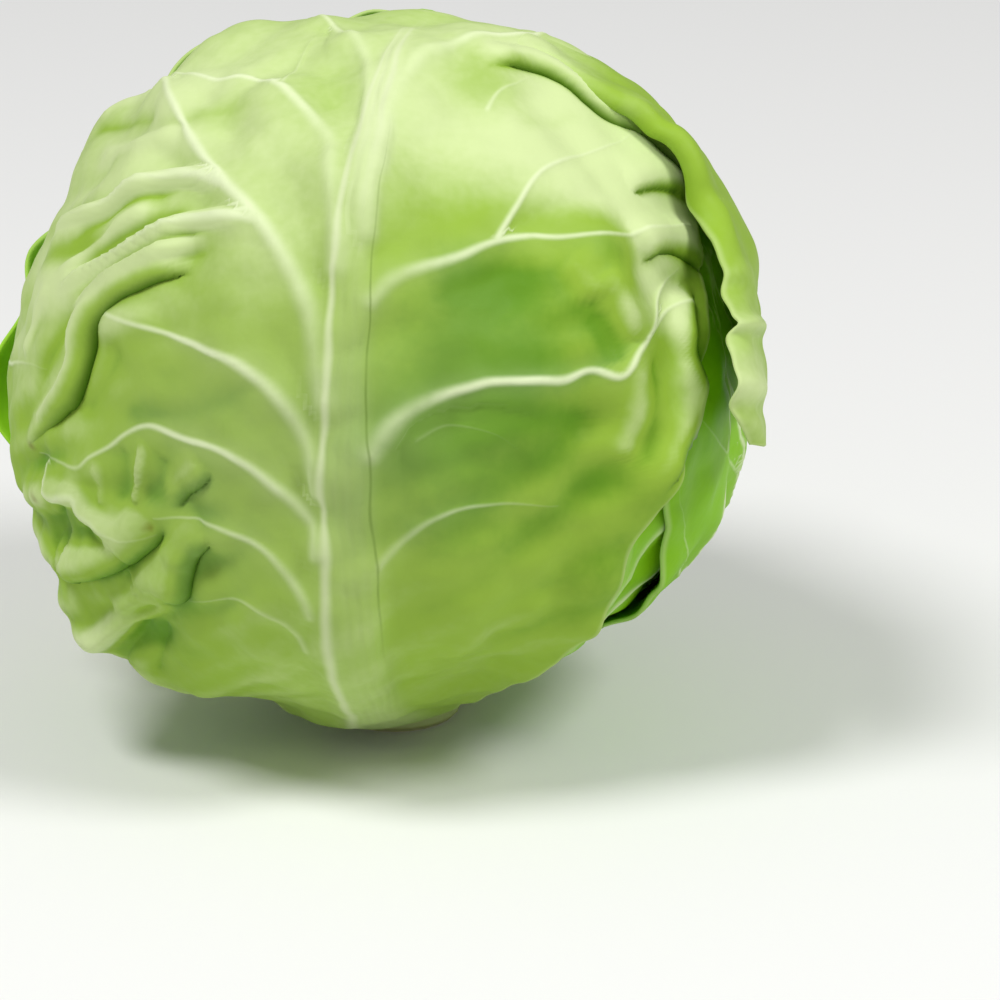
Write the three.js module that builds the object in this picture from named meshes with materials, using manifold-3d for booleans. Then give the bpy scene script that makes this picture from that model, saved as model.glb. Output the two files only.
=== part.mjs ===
// A whole head of white cabbage, as cut: a pale stump with its core, the tight heart of inner
// leaves, and six loose wrapper leaves that clasp the stump and lie over one another.
// Millimetres and degrees. +Z is up and the front is towards -Y. The origin is the centre of the
// stump's cut foot, which the head stands on.
//
// A place on the head is a direction from its centre. "polar" is the angle from straight down,
// and "azimuth" runs from the front towards +X.

import * as THREE from "three";
import { mergeVertices } from "three/addons/utils/BufferGeometryUtils.js";
import Module from "manifold-3d";

const wasm = await Module();
wasm.setup();

// Driving sizes
const CENTRE_HEIGHT = 92; // the head's centre above its foot
const HEART_RADIUS = 81;
const HEART_HALF_HEIGHT = 77;
const HEART_SQUARENESS = 2.2; // 2 is an ellipsoid, more is boxier
const HEART_FOOT = 75; // the heart is flattened this far below its centre
const FOOT_SHARPNESS = 8;
const LEAF_THICKNESS = 1.0;
const LEAF_GAP = 1.7; // air between two wrapper leaves
const TIGHTER_FOOT = 0.9; // share of that gap left round the stump
const FOOT_GAP_RANGE = [15, 50]; // degrees in which the gap widens to its full size
const BASE_THICKENING = 0.8; // a leaf is this much thicker where it leaves the stump
const BASE_FADE = 16; // degrees
const COLLAR = [8, 36]; // round the stump every leaf counts, and away from it only those above
const COVER_MARGIN = 3; // degrees past its margin that a leaf still lifts the ones above it
const COVER_FADE = 14; // and where it has stopped doing so
const HEAD_RADIUS = 95; // turns degrees on the head into millimetres
const MM_PER_DEGREE = (HEAD_RADIUS * Math.PI) / 180;

// The leaves' feet stand round the stump and don't reach under it.
const STUMP_CLEARANCE = 14; // degrees from straight down
const CLEARANCE_FADE = 24;

// Stump and core
const FOOT_RADIUS = 16.5;
const FOOT_CHAMFER = 1.2;
const STUMP_RADIUS = 17.5;
const STUMP_HEIGHT = 13; // from here up it narrows into the core
const CORE_RADIUS = 15;
const CORE_BASE_HEIGHT = 24;
const CORE_TIP_HEIGHT = 98;
const CORE_TAPER = [[0.6, 0.8], [0.95, 0.4]]; // shares of its height and of its radius
const CORE_GAP = 0.4;
const CORE_SIDES = 24;
const HEART_COLUMNS = 26;
const HEART_ROWS = 18;
const WELD = 1e-5; // corners closer than this are one

// The front elevation that folds are drawn on: millimetres right of and above the head's centre,
// as seen from this far away and this much above the horizon.
const VIEW_TILT = 20;
const VIEW_DISTANCE = 1500;

const radians = THREE.MathUtils.degToRad;
const degrees = THREE.MathUtils.radToDeg;
const smoothstep = THREE.MathUtils.smoothstep;
const lerp = THREE.MathUtils.lerp;
const bell = (x) => Math.exp(-x * x);

function direction(polar, azimuth) {
  const p = radians(polar);
  const a = radians(azimuth);
  return new THREE.Vector3(Math.sin(p) * Math.sin(a), -Math.sin(p) * Math.cos(a), -Math.cos(p));
}

const polarOf = (n) => degrees(Math.acos(THREE.MathUtils.clamp(-n.z, -1, 1)));

// Pushes directions near the stump outwards, so that a leaf's foot opens round it.
function roundStump(n) {
  const polar = polarOf(n);
  const azimuth = degrees(Math.atan2(n.x, -n.y));
  return direction(polar + STUMP_CLEARANCE * Math.exp(-polar / CLEARANCE_FADE), azimuth);
}

// Lifts a point of the front elevation onto a ball of the given radius round the head's centre.
function onFront([x, z], radius = HEAD_RADIUS) {
  const tilt = radians(VIEW_TILT);
  const up = new THREE.Vector3(0, Math.sin(tilt), Math.cos(tilt));
  const eye = new THREE.Vector3(0, -Math.cos(tilt), Math.sin(tilt)).multiplyScalar(VIEW_DISTANCE);
  const ray = new THREE.Vector3(x, 0, 0).addScaledVector(up, z).sub(eye).normalize();
  const along = -eye.dot(ray);
  const missSquared = eye.lengthSq() - along * along;
  const depth = Math.sqrt(Math.max(radius * radius - missSquared, 0));
  return eye.addScaledVector(ray, along - depth).normalize();
}

// Broad lumps that every layer shares, because each leaf is moulded on the ones inside it.
const LUMPS = [
  { wave: [2.1, 1.3, 2.6], phase: 0.4, height: 0.9 },
  { wave: [-2.9, 2.2, 1.1], phase: 2.1, height: 0.7 },
  { wave: [1.2, -3.4, 2.3], phase: 4.0, height: 0.6 },
];

// The head isn't quite round: it is fuller on the left and low down than it is high on the right.
const BULGES = [
  { polar: 85, azimuth: 275, spread: 42, height: 8 },
  { polar: 45, azimuth: 315, spread: 32, height: 4 },
  { polar: 155, azimuth: 220, spread: 45, height: 4 },
  { polar: 125, azimuth: 85, spread: 32, height: -4 },
].map((bulge) => ({ ...bulge, middle: direction(bulge.polar, bulge.azimuth) }));

function unevenness(n) {
  let sum = 0;
  for (const { wave, phase, height } of LUMPS)
    sum += height * Math.sin(n.x * wave[0] + n.y * wave[1] + n.z * wave[2] + phase);
  for (const { middle, spread, height } of BULGES)
    sum += height * bell(degrees(n.angleTo(middle)) / spread);
  return sum;
}

function heartRadius(n) {
  const across = Math.hypot(n.x, n.y) / HEART_RADIUS;
  const upward = Math.abs(n.z) / HEART_HALF_HEIGHT;
  const round = (across ** HEART_SQUARENESS + upward ** HEART_SQUARENESS) ** (-1 / HEART_SQUARENESS);
  if (n.z >= 0) return round + unevenness(n);
  const foot = HEART_FOOT / -n.z;
  const flat = (round ** -FOOT_SHARPNESS + foot ** -FOOT_SHARPNESS) ** (-1 / FOOT_SHARPNESS);
  return flat + unevenness(n);
}

// The wrapper leaves, from the innermost to the outermost. outline is how far the blade reaches
// from its middle, in degrees, every 30 degrees of turn from its foot towards its right-hand side.
const WRAPPER_LEAVES = [
  {
    name: "leaf_inner_front",
    azimuth: 40,
    middle: 88,
    outline: [78, 62, 58, 60, 66, 74, 82, 76, 68, 62, 60, 64],
    rib: { bend: 4, height: 3.2 },
    ruffle: { height: 1.0, waves: 11, phase: 0.7 },
    flares: [],
    grid: 18,
  },
  {
    name: "leaf_left",
    azimuth: 290,
    middle: 88,
    outline: [78, 66, 62, 64, 70, 80, 86, 80, 72, 66, 64, 68],
    rib: { bend: -5, height: 3.4 },
    ruffle: { height: 1.2, waves: 12, phase: 2.3 },
    flares: [],
    grid: 20,
  },
  {
    name: "leaf_back",
    azimuth: 160,
    middle: 92,
    outline: [82, 70, 66, 68, 76, 86, 94, 88, 76, 70, 66, 70],
    rib: { bend: 5, height: 3.6 },
    ruffle: { height: 1.4, waves: 13, phase: 1.1 },
    flares: [{ turn: 185, spread: 30, lift: 2.5, depth: 16 }],
    grid: 20,
  },
  {
    name: "leaf_right",
    azimuth: 112,
    middle: 86,
    outline: [76, 64, 62, 66, 72, 80, 84, 78, 70, 62, 56, 60],
    rib: { bend: -4, height: 3.6 },
    ruffle: { height: 1.6, waves: 12, phase: 0.2 },
    flares: [{ turn: 105, spread: 28, lift: 4, depth: 16 }],
    grid: 20,
  },
  {
    name: "leaf_front",
    azimuth: -4,
    middle: 97,
    outline: [88, 66, 52, 56, 78, 93, 94, 93, 94, 88, 74, 74],
    rib: { bend: -3, height: 4.2 },
    ruffle: { height: 1.2, waves: 14, phase: 1.9 },
    flares: [{ turn: 80, spread: 22, lift: 3, depth: 12 }],
    grid: 38,
  },
  {
    name: "leaf_back_left",
    azimuth: 212,
    middle: 86,
    outline: [76, 64, 58, 52, 45, 46, 53, 62, 68, 64, 60, 64],
    rib: { bend: 5, height: 4.0 },
    ruffle: { height: 2.0, waves: 12, phase: 3.4 },
    flares: [
      { turn: 82, spread: 12, lift: 3.5, depth: 13 },
      { turn: 200, spread: 35, lift: 3, depth: 15 },
      { turn: 290, spread: 30, lift: 4, depth: 15 },
    ],
    grid: 22,
  },
].map(placeLeaf);

const FOOT_POINT_WIDTH = 7; // degrees of turn in which the outline runs out to the stump
const FOOT_POINT_GAP = 1.5; // degrees left between the foot and straight down
const RIB_FOOT_WIDTH = 12; // half widths, in millimetres
const RIB_TIP_WIDTH = 2.2;
const RIB_TAPER = 2.0;
const RIB_HEIGHT_TAPER = 1.3;
const RIB_TIP_HEIGHT = 0.5;
const RIB_START = [8, 34]; // degrees from the stump in which the rib rises out of the blade
const RIB_END = [0.78, 0.93]; // share of the leaf's length in which it sinks into the blade again
const RIB_CLEARANCE = 6; // a leaf passes over the ribs inside it in a wider curve
const RUFFLE_DEPTH = 13; // degrees in from the margin
const RUFFLE_START = [15, 50]; // degrees from the stump in which the margin comes free
const RUFFLE_UNEVENNESS = 0.8; // how much the waves differ in length
const FLARE_CURVE = 1.5;

function placeLeaf(leaf) {
  const p = radians(leaf.middle);
  const a = radians(leaf.azimuth);
  return {
    ...leaf,
    centre: direction(leaf.middle, leaf.azimuth),
    right: new THREE.Vector3(Math.cos(a), Math.sin(a), 0),
    up: new THREE.Vector3(Math.cos(p) * Math.sin(a), -Math.cos(p) * Math.cos(a), Math.sin(p)),
  };
}

// Degrees of reach from the blade's middle, and of turn from its foot, of a place on the head.
function chart(leaf, n) {
  const across = n.dot(leaf.right);
  const upward = n.dot(leaf.up);
  const reach = degrees(Math.acos(THREE.MathUtils.clamp(n.dot(leaf.centre), -1, 1)));
  return { reach, turn: degrees(Math.atan2(across, -upward)) };
}

function outlineReach(leaf, turn) {
  const step = 360 / leaf.outline.length;
  const at = (((turn % 360) + 360) % 360) / step;
  const k = Math.floor(at);
  const t = at - k;
  const [a, b, c, d] = [-1, 0, 1, 2].map(
    (i) => leaf.outline[(k + i + leaf.outline.length) % leaf.outline.length],
  );
  const blade =
    b + 0.5 * t * (c - a + t * (2 * a - 5 * b + 4 * c - d + t * (3 * (b - c) + d - a)));
  const fromFoot = ((turn + 540) % 360) - 180;
  const foot = leaf.middle - FOOT_POINT_GAP - leaf.outline[0];
  return blade + foot * bell(fromFoot / FOOT_POINT_WIDTH);
}

// 1 where the leaf lies over a place or close beside it, sinking to 0 past its margin.
function cover(leaf, n) {
  const { reach, turn } = chart(leaf, n);
  const bare = 1 - smoothstep(outlineReach(leaf, turn) - reach, -COVER_FADE, -COVER_MARGIN);
  return 1 - bare * smoothstep(polarOf(n), ...COLLAR);
}

// Height of the midrib, which stands out of the blade's outer face.
function ribHeight(leaf, n, clearance = 0) {
  const { reach, turn } = chart(leaf, n);
  const along = leaf.middle - reach * Math.cos(radians(turn));
  const share = along / (leaf.middle + leaf.outline[6]);
  const bend = leaf.rib.bend * Math.sin(Math.PI * THREE.MathUtils.clamp(share, 0, 1));
  const across = reach * Math.sin(radians(turn)) * MM_PER_DEGREE - bend;
  const left = THREE.MathUtils.clamp(1 - share, 0, 1);
  const width = RIB_TIP_WIDTH + RIB_FOOT_WIDTH * left ** RIB_TAPER + clearance;
  const height = RIB_TIP_HEIGHT + leaf.rib.height * left ** RIB_HEIGHT_TAPER;
  const ends = smoothstep(polarOf(n), ...RIB_START) * (1 - smoothstep(share, ...RIB_END));
  return height * ends * Math.exp(-((across / width) ** 4));
}

function bladeThickness(leaf, n) {
  return LEAF_THICKNESS + BASE_THICKENING * bell(polarOf(n) / BASE_FADE);
}

function gapAt(n) {
  return LEAF_GAP * lerp(TIGHTER_FOOT, 1, smoothstep(polarOf(n), ...FOOT_GAP_RANGE));
}

// Radius of the inner face of a leaf, over every leaf that lies inside it.
function underside(index, n) {
  return WRAPPER_LEAVES.slice(0, index).reduce(
    (radius, inner) =>
      radius +
      cover(inner, n) *
        (bladeThickness(inner, n) + gapAt(n) + ribHeight(inner, n, RIB_CLEARANCE)),
    heartRadius(roundStump(n)) + gapAt(n),
  );
}

// How freely a leaf's margin can lift: 0 under another leaf, 1 in the open.
function freedom(index, n) {
  return WRAPPER_LEAVES.slice(index + 1).reduce((free, outer) => free * (1 - cover(outer, n)), 1);
}

function marginLift(leaf, index, n) {
  const { reach, turn } = chart(leaf, n);
  const inside = outlineReach(leaf, turn) - reach;
  const edge = 1 - smoothstep(inside, 0, RUFFLE_DEPTH);
  const { height, waves, phase } = leaf.ruffle;
  const t = radians(turn);
  const wave = Math.sin(waves * t + phase + RUFFLE_UNEVENNESS * Math.sin(3 * t));
  let lift = height * edge * (1 + wave);
  for (const flare of leaf.flares) {
    const away = ((turn - flare.turn + 540) % 360) - 180;
    const opened = (1 - smoothstep(inside, 0, flare.depth)) ** FLARE_CURVE;
    lift += flare.lift * bell(away / flare.spread) * opened;
  }
  return lift * freedom(index, n) * smoothstep(polarOf(n), ...RUFFLE_START);
}

// Folds of the front leaf. The line is drawn on the front elevation, and the blade on its raised
// side stands over the other side in a lip. That side is given by its sign: 1 is on the left of
// somebody who walks along the line, and -1 on the right.
const FOLDS = [
  {
    line: [[-46, 22], [-54, 21.5], [-62, 18.5], [-68, 14], [-73, 5], [-77, -5], [-81, -13], [-87, -19]],
    raisedSide: -1,
    lift: 6,
    reach: 18,
  },
  {
    line: [[-56, -43], [-61, -50], [-69, -53], [-78, -49]],
    raisedSide: -1,
    lift: 3,
    reach: 12,
  },
  {
    line: [[-44, -46], [-49, -51], [-51, -57], [-55, -60], [-62, -61]],
    raisedSide: -1,
    lift: 2.5,
    reach: 10,
  },
];
const FOLD_WALL = 5; // half the width of the steep part, in millimetres
const FOLD_START = [0, 0.3]; // share of its length in which a fold rises
const FOLD_FALL = [0.85, 1]; // and in which it sinks to half its height
const FOLD_END_FADE = 6; // millimetres past either end
const FOLD_STEPS = 40;

const folds = FOLDS.map((fold) => {
  const curve = new THREE.CatmullRomCurve3(fold.line.map((point) => onFront(point)));
  return { ...fold, points: curve.getPoints(FOLD_STEPS).map((point) => point.normalize()) };
});

// The nearest place on a fold, how far along it that is (0 to 1), and the distance to it in
// millimetres, positive on the raised side.
function nearestOnFold(fold, n) {
  let best = 0;
  let nearest = Infinity;
  fold.points.forEach((point, k) => {
    const gap = point.distanceToSquared(n);
    if (gap < nearest) {
      nearest = gap;
      best = k;
    }
  });
  const before = fold.points[Math.max(best - 1, 0)];
  const after = fold.points[Math.min(best + 1, FOLD_STEPS)];
  const tangent = after.clone().sub(before).normalize();
  const side = fold.points[best].clone().cross(tangent).normalize().multiplyScalar(fold.raisedSide);
  const offset = n.clone().sub(fold.points[best]);
  const past = Math.abs(offset.dot(tangent)) * HEAD_RADIUS;
  const share = best / FOLD_STEPS;
  const beyond = best === 0 || best === FOLD_STEPS ? bell(past / FOLD_END_FADE) : 1;
  const strength = beyond * smoothstep(share, ...FOLD_START) * (1 - smoothstep(share, ...FOLD_FALL) / 2);
  return { distance: offset.dot(side) * HEAD_RADIUS, strength };
}

function foldLift(n) {
  let lift = 0;
  for (const fold of folds) {
    const { distance, strength } = nearestOnFold(fold, n);
    const past = Math.max(distance - FOLD_WALL, 0);
    const wall = smoothstep(distance, -FOLD_WALL, FOLD_WALL);
    lift += strength * fold.lift * wall * bell(past / fold.reach);
  }
  return lift;
}

// A square net bent into a disc, so that its edge follows the leaf's margin.
function netDirection(leaf, u, v) {
  const across = u * Math.sqrt(1 - (v * v) / 2);
  const upward = v * Math.sqrt(1 - (u * u) / 2);
  const turn = Math.atan2(across, -upward);
  const reach = radians(Math.hypot(across, upward) * outlineReach(leaf, degrees(turn)));
  return new THREE.Vector3()
    .addScaledVector(leaf.centre, Math.cos(reach))
    .addScaledVector(leaf.right, Math.sin(reach) * Math.sin(turn))
    .addScaledVector(leaf.up, -Math.sin(reach) * Math.cos(turn));
}

function placeOnHead(n, radius) {
  return roundStump(n)
    .multiplyScalar(radius)
    .add(new THREE.Vector3(0, 0, CENTRE_HEIGHT));
}

function bladePoint(leaf, index, u, v) {
  const n = netDirection(leaf, u, v);
  const thickness = bladeThickness(leaf, n);
  const lift = marginLift(leaf, index, n) + (leaf.name === "leaf_front" ? foldLift(n) : 0);
  const middle = placeOnHead(n, underside(index, n) + thickness / 2 + lift);
  return { middle, thickness, rib: ribHeight(leaf, n) };
}

function quadNormal(net, [a, b, c, d]) {
  const rising = net[c].middle.clone().sub(net[a].middle);
  const falling = net[d].middle.clone().sub(net[b].middle);
  return rising.cross(falling);
}

// A closed sheet over a net of middle points: both faces are split alike and joined by a rim.
// Each cell is split along the diagonal that bends least, so that folds stay clean, and at the
// net's corners along the one through the corner, so that no triangle is a mere line.
function sheetGeometry(columns, rows, pointAt) {
  const net = [];
  for (let j = 0; j <= rows; j++)
    for (let i = 0; i <= columns; i++) net.push(pointAt((2 * i) / columns - 1, (2 * j) / rows - 1));
  const at = (i, j) => j * (columns + 1) + i;
  const cells = [];
  for (let j = 0; j < rows; j++)
    for (let i = 0; i < columns; i++) {
      const corners = [at(i, j), at(i + 1, j), at(i + 1, j + 1), at(i, j + 1)];
      const atCorner = (i === 0 || i === columns - 1) && (j === 0 || j === rows - 1);
      cells.push({ corners, atCorner, diagonal: (i === 0) === (j === 0) });
    }
  const normals = net.map(() => new THREE.Vector3());
  for (const { corners } of cells) {
    const normal = quadNormal(net, corners);
    for (const k of corners) normals[k].add(normal);
  }
  for (const normal of normals) normal.normalize();
  const faces = [];
  for (const { corners, atCorner, diagonal } of cells) {
    const [a, b, c, d] = corners;
    const flatter = normals[a].dot(normals[c]) > normals[b].dot(normals[d]);
    const rising = atCorner ? diagonal : flatter;
    faces.push(...(rising ? [[a, b, c], [a, c, d]] : [[a, b, d], [b, c, d]]));
  }
  const count = net.length;
  const positions = new Float32Array(count * 6);
  net.forEach(({ middle, thickness, rib }, k) => {
    const outer = middle.clone().addScaledVector(normals[k], thickness / 2 + rib);
    const inner = middle.clone().addScaledVector(normals[k], -thickness / 2);
    outer.toArray(positions, k * 3);
    inner.toArray(positions, (count + k) * 3);
  });
  const index = [];
  for (const [a, b, c] of faces) index.push(a, b, c, count + a, count + c, count + b);
  const rim = [];
  for (let i = 0; i < columns; i++) rim.push(at(i, 0));
  for (let j = 0; j < rows; j++) rim.push(at(columns, j));
  for (let i = columns; i > 0; i--) rim.push(at(i, rows));
  for (let j = rows; j > 0; j--) rim.push(at(0, j));
  rim.forEach((a, k) => {
    const b = rim[(k + 1) % rim.length];
    index.push(b, a, count + a, b, count + a, count + b);
  });
  const geometry = new THREE.BufferGeometry();
  geometry.setAttribute("position", new THREE.BufferAttribute(positions, 3));
  geometry.setIndex(index);
  return geometry;
}

// The front leaf's right-hand lobe: it folds out of the blade high on the head, hangs down over
// the right side and ends in a free, waved rim. Its front rim is drawn on the front elevation,
// and its back edge is given by polar angle and azimuth.
const LOBE_RIM = [
  [24, 75], [36, 75], [43, 71], [52, 64], [61, 57], [71, 46], [78, 34], [83, 22],
  [83, 10], [82, 0], [85, -10], [90, -20],
];
const LOBE_BACK = [[158, 122], [140, 117], [122, 112], [106, 107], [94, 98], [84, 88], [80, 83]];
const LOBE_RIM_RADIUS = [89, 104]; // how far its two ends stand from the head's centre
const LOBE_RIM_LIFT = 13;
const LOBE_RIM_CURVE = 1.6;
const LOBE_OPENING = [0.1, 0.65]; // share of its length in which the rim comes away
const LOBE_CORNER = 0.2; // share of its length cut off the back corner
const LOBE_CORNER_WIDTH = [0.3, 1];
const LOBE_CURL = 4; // the rim turns back towards the head by this much
const LOBE_CURL_WIDTH = [0, 0.16];
const LOBE_LEVEL = 1.4; // above the blade that it folds out of
const LOBE_ROOT = 0.2; // how deep its upper end is rooted in that blade
const LOBE_ROOT_LENGTH = [0, 0.12];
const LOBE_WAVE = 3;
const LOBE_WAVES = 5;
const LOBE_WAVED = [0.5, 0.75];
const LOBE_COLUMNS = 26;
const LOBE_ROWS = 9;

function rimDirection(point, k) {
  return onFront(point, lerp(...LOBE_RIM_RADIUS, k / (LOBE_RIM.length - 1)));
}

const lobeRim = new THREE.CatmullRomCurve3(LOBE_RIM.map(rimDirection));
const lobeBack = new THREE.CatmullRomCurve3(LOBE_BACK.map((place) => direction(...place)));

// u runs down the lobe from where it folds out to its tip, and v from its rim to its back edge.
function lobePoint(index, u, v) {
  const back = (v + 1) / 2;
  const cutOff = LOBE_CORNER * smoothstep(back, ...LOBE_CORNER_WIDTH) ** 2;
  const along = ((u + 1) / 2) * (1 - cutOff);
  const start = lobeRim.getPointAt(along).normalize();
  const end = lobeBack.getPointAt(along).normalize();
  const n = start.lerp(end, back).normalize();
  const opened = smoothstep(along, ...LOBE_OPENING);
  const nearRim = (1 - back) ** LOBE_RIM_CURVE;
  const curl = LOBE_CURL * (1 - smoothstep(back, ...LOBE_CURL_WIDTH)) ** 2;
  const wave = LOBE_WAVE * smoothstep(along, ...LOBE_WAVED) * Math.sin(2 * Math.PI * LOBE_WAVES * along);
  const lift = (LOBE_RIM_LIFT * nearRim - curl) * opened + wave * nearRim;
  const level = (LOBE_LEVEL + LOBE_ROOT) * smoothstep(along, ...LOBE_ROOT_LENGTH) - LOBE_ROOT;
  const radius = underside(index, n) + LEAF_THICKNESS / 2 + level + lift;
  return { middle: placeOnHead(n, radius), thickness: LEAF_THICKNESS, rib: 0 };
}

function solidOf(geometry) {
  return new wasm.Manifold(
    new wasm.Mesh({
      numProp: 3,
      vertProperties: geometry.getAttribute("position").array,
      triVerts: new Uint32Array(geometry.index.array),
    }),
  );
}

function geometryOf(solid) {
  const { vertProperties, triVerts } = solid.getMesh();
  return new THREE.BufferGeometry()
    .setAttribute("position", new THREE.BufferAttribute(vertProperties, 3))
    .setIndex(new THREE.BufferAttribute(triVerts, 1));
}

// Materials
const blade = (color) => new THREE.MeshStandardMaterial({ color, roughness: 0.45, metalness: 0 });
const OUTER_GREEN = blade(0xa6cd5f);
const INNER_GREEN = blade(0x86bf2e);
const HEART_GREEN = blade(0xd5e3a0);
const STUMP_CREAM = new THREE.MeshStandardMaterial({ color: 0xe9e6cc, roughness: 0.6, metalness: 0 });

function leafMesh(leaf, index) {
  const outer = index >= WRAPPER_LEAVES.length - 2;
  const sheet = sheetGeometry(leaf.grid, leaf.grid, (u, v) => bladePoint(leaf, index, u, v));
  let geometry = sheet;
  if (leaf.name === "leaf_front") {
    const lobe = sheetGeometry(LOBE_COLUMNS, LOBE_ROWS, (u, v) => lobePoint(index, u, v));
    geometry = geometryOf(solidOf(sheet).add(solidOf(lobe)));
  }
  const mesh = new THREE.Mesh(geometry, outer ? OUTER_GREEN : INNER_GREEN);
  mesh.name = leaf.name;
  return mesh;
}

// Keeps only the positions, so that corners on a seam or at a pole become one.
function welded(geometry) {
  geometry.deleteAttribute("normal");
  geometry.deleteAttribute("uv");
  geometry.rotateX(Math.PI / 2);
  return mergeVertices(geometry, WELD);
}

// The core and the pocket that it fills in the heart share one profile.
function coreGeometry(grow) {
  const profile = [
    [0, 0],
    [FOOT_RADIUS - FOOT_CHAMFER, 0],
    [FOOT_RADIUS, FOOT_CHAMFER],
    [STUMP_RADIUS, STUMP_HEIGHT],
    [CORE_RADIUS + grow, CORE_BASE_HEIGHT],
    ...CORE_TAPER.map(([up, out]) => [CORE_RADIUS * out + grow, CORE_TIP_HEIGHT * up]),
    [0, CORE_TIP_HEIGHT + grow],
  ].map(([x, y]) => new THREE.Vector2(x, y));
  return welded(new THREE.LatheGeometry(profile, CORE_SIDES));
}

function heartMesh() {
  const geometry = welded(new THREE.SphereGeometry(1, HEART_COLUMNS, HEART_ROWS));
  const position = geometry.getAttribute("position");
  for (let k = 0; k < position.count; k++) {
    const n = new THREE.Vector3().fromBufferAttribute(position, k).normalize();
    const point = n.clone().multiplyScalar(heartRadius(n));
    position.setXYZ(k, point.x, point.y, point.z + CENTRE_HEIGHT);
  }
  const solid = solidOf(geometry).subtract(solidOf(coreGeometry(CORE_GAP)));
  const mesh = new THREE.Mesh(geometryOf(solid), HEART_GREEN);
  mesh.name = "heart";
  return mesh;
}

function stumpMesh() {
  const mesh = new THREE.Mesh(coreGeometry(0), STUMP_CREAM);
  mesh.name = "stump";
  return mesh;
}

const cabbage = new THREE.Group();
cabbage.add(stumpMesh(), heartMesh(), ...WRAPPER_LEAVES.map(leafMesh));

export default cabbage;
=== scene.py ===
# %% [markdown]
# # A whole head of white cabbage
# The head is a hard ball of folded leaves, the heart, on a pale stump, with six loose wrapper
# leaves round it. Each wrapper leaf is a thin blade with a broad midrib and a tree of side veins,
# moulded on the leaves inside it and free at its margin. The imported model brings the solids;
# here each wrapper leaf gets a finer piece in the same place, with the finish of a fresh leaf,
# and the heart and the stump get finishes of their own.

# %% Load the imported model
import math

import bpy
import numpy as np
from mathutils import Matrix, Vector


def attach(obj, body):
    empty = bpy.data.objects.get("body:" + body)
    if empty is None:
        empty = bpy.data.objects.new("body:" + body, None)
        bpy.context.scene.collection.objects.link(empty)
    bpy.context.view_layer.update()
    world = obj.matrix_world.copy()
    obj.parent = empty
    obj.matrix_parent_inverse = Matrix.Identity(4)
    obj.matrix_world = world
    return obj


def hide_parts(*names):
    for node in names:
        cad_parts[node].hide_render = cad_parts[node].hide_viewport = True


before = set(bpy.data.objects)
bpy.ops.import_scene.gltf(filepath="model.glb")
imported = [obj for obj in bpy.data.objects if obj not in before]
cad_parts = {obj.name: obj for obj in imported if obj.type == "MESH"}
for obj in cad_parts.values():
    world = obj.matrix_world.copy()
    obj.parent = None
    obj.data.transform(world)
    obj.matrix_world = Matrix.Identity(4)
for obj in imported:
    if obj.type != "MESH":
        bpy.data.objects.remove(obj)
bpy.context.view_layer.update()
MM = 0.001

# %% [markdown]
# The camera looks at the front from a little above, from far away with a long lens, so that the
# head is hardly foreshortened. It is aimed past the head, which puts the head in the upper left
# of the frame.

# %% Camera
CENTRE_HEIGHT = 92.0  # the head's centre above its foot
VIEW_TILT = 20.0
VIEW_DISTANCE = 1500.0
VIEW_WIDTH = 250.0  # millimetres that the frame shows at the head
AIM_RIGHT = 26.75  # of the head's centre
AIM_UP = -33.0

tilt = math.radians(VIEW_TILT)
view_up = np.array([0.0, math.sin(tilt), math.cos(tilt)])
view_back = np.array([0.0, -math.cos(tilt), math.sin(tilt)])
view_right = np.array([1.0, 0.0, 0.0])
head_centre = np.array([0.0, 0.0, CENTRE_HEIGHT])
aim = head_centre + AIM_RIGHT * view_right + AIM_UP * view_up

camera_data = bpy.data.cameras.new("camera")
camera_data.sensor_width = 36.0
camera_data.lens = camera_data.sensor_width * VIEW_DISTANCE / VIEW_WIDTH
camera = bpy.data.objects.new("camera", camera_data)
camera.location = Vector((aim + VIEW_DISTANCE * view_back) * MM)
camera.rotation_euler = (math.radians(90.0 - VIEW_TILT), 0.0, 0.0)
bpy.context.scene.collection.objects.link(camera)
bpy.context.scene.camera = camera
print("camera lens, mm:", camera_data.lens)

# %% [markdown]
# A leaf is thin enough to read by its shading, so the light is one large soft lamp high on the
# left, a weaker one on the right that keeps the shadows open, and a bright room all round. The
# floor is a plain pale sheet.

# %% Floor and light
FLOOR_COLOUR = (0.84, 0.84, 0.83, 1.0)
FLOOR_SIZE = 6.0
LAMP_SIZE = 0.8
LAMP_DISTANCE = 2.4


def soft_lamp(name, power, azimuth, elevation):
    """An area lamp that looks at the head's centre."""
    data = bpy.data.lights.new(name, "AREA")
    data.shape = "DISK"
    data.size = LAMP_SIZE
    data.energy = power
    lamp = bpy.data.objects.new(name, data)
    a, e = math.radians(azimuth), math.radians(elevation)
    away = Vector((math.sin(a) * math.cos(e), -math.cos(a) * math.cos(e), math.sin(e)))
    lamp.location = Vector(head_centre * MM) + away * LAMP_DISTANCE
    lamp.rotation_euler = away.to_track_quat("Z", "Y").to_euler()
    bpy.context.scene.collection.objects.link(lamp)


soft_lamp("left_lamp", 35.0, -50.0, 60.0)
soft_lamp("right_lamp", 28.0, 62.0, 48.0)

world = bpy.data.worlds.new("room")
world.use_nodes = True
world.node_tree.nodes["Background"].inputs["Color"].default_value = (1.0, 1.0, 1.0, 1.0)
world.node_tree.nodes["Background"].inputs["Strength"].default_value = 0.3
bpy.context.scene.world = world
bpy.context.scene.view_settings.view_transform = "Standard"

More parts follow.
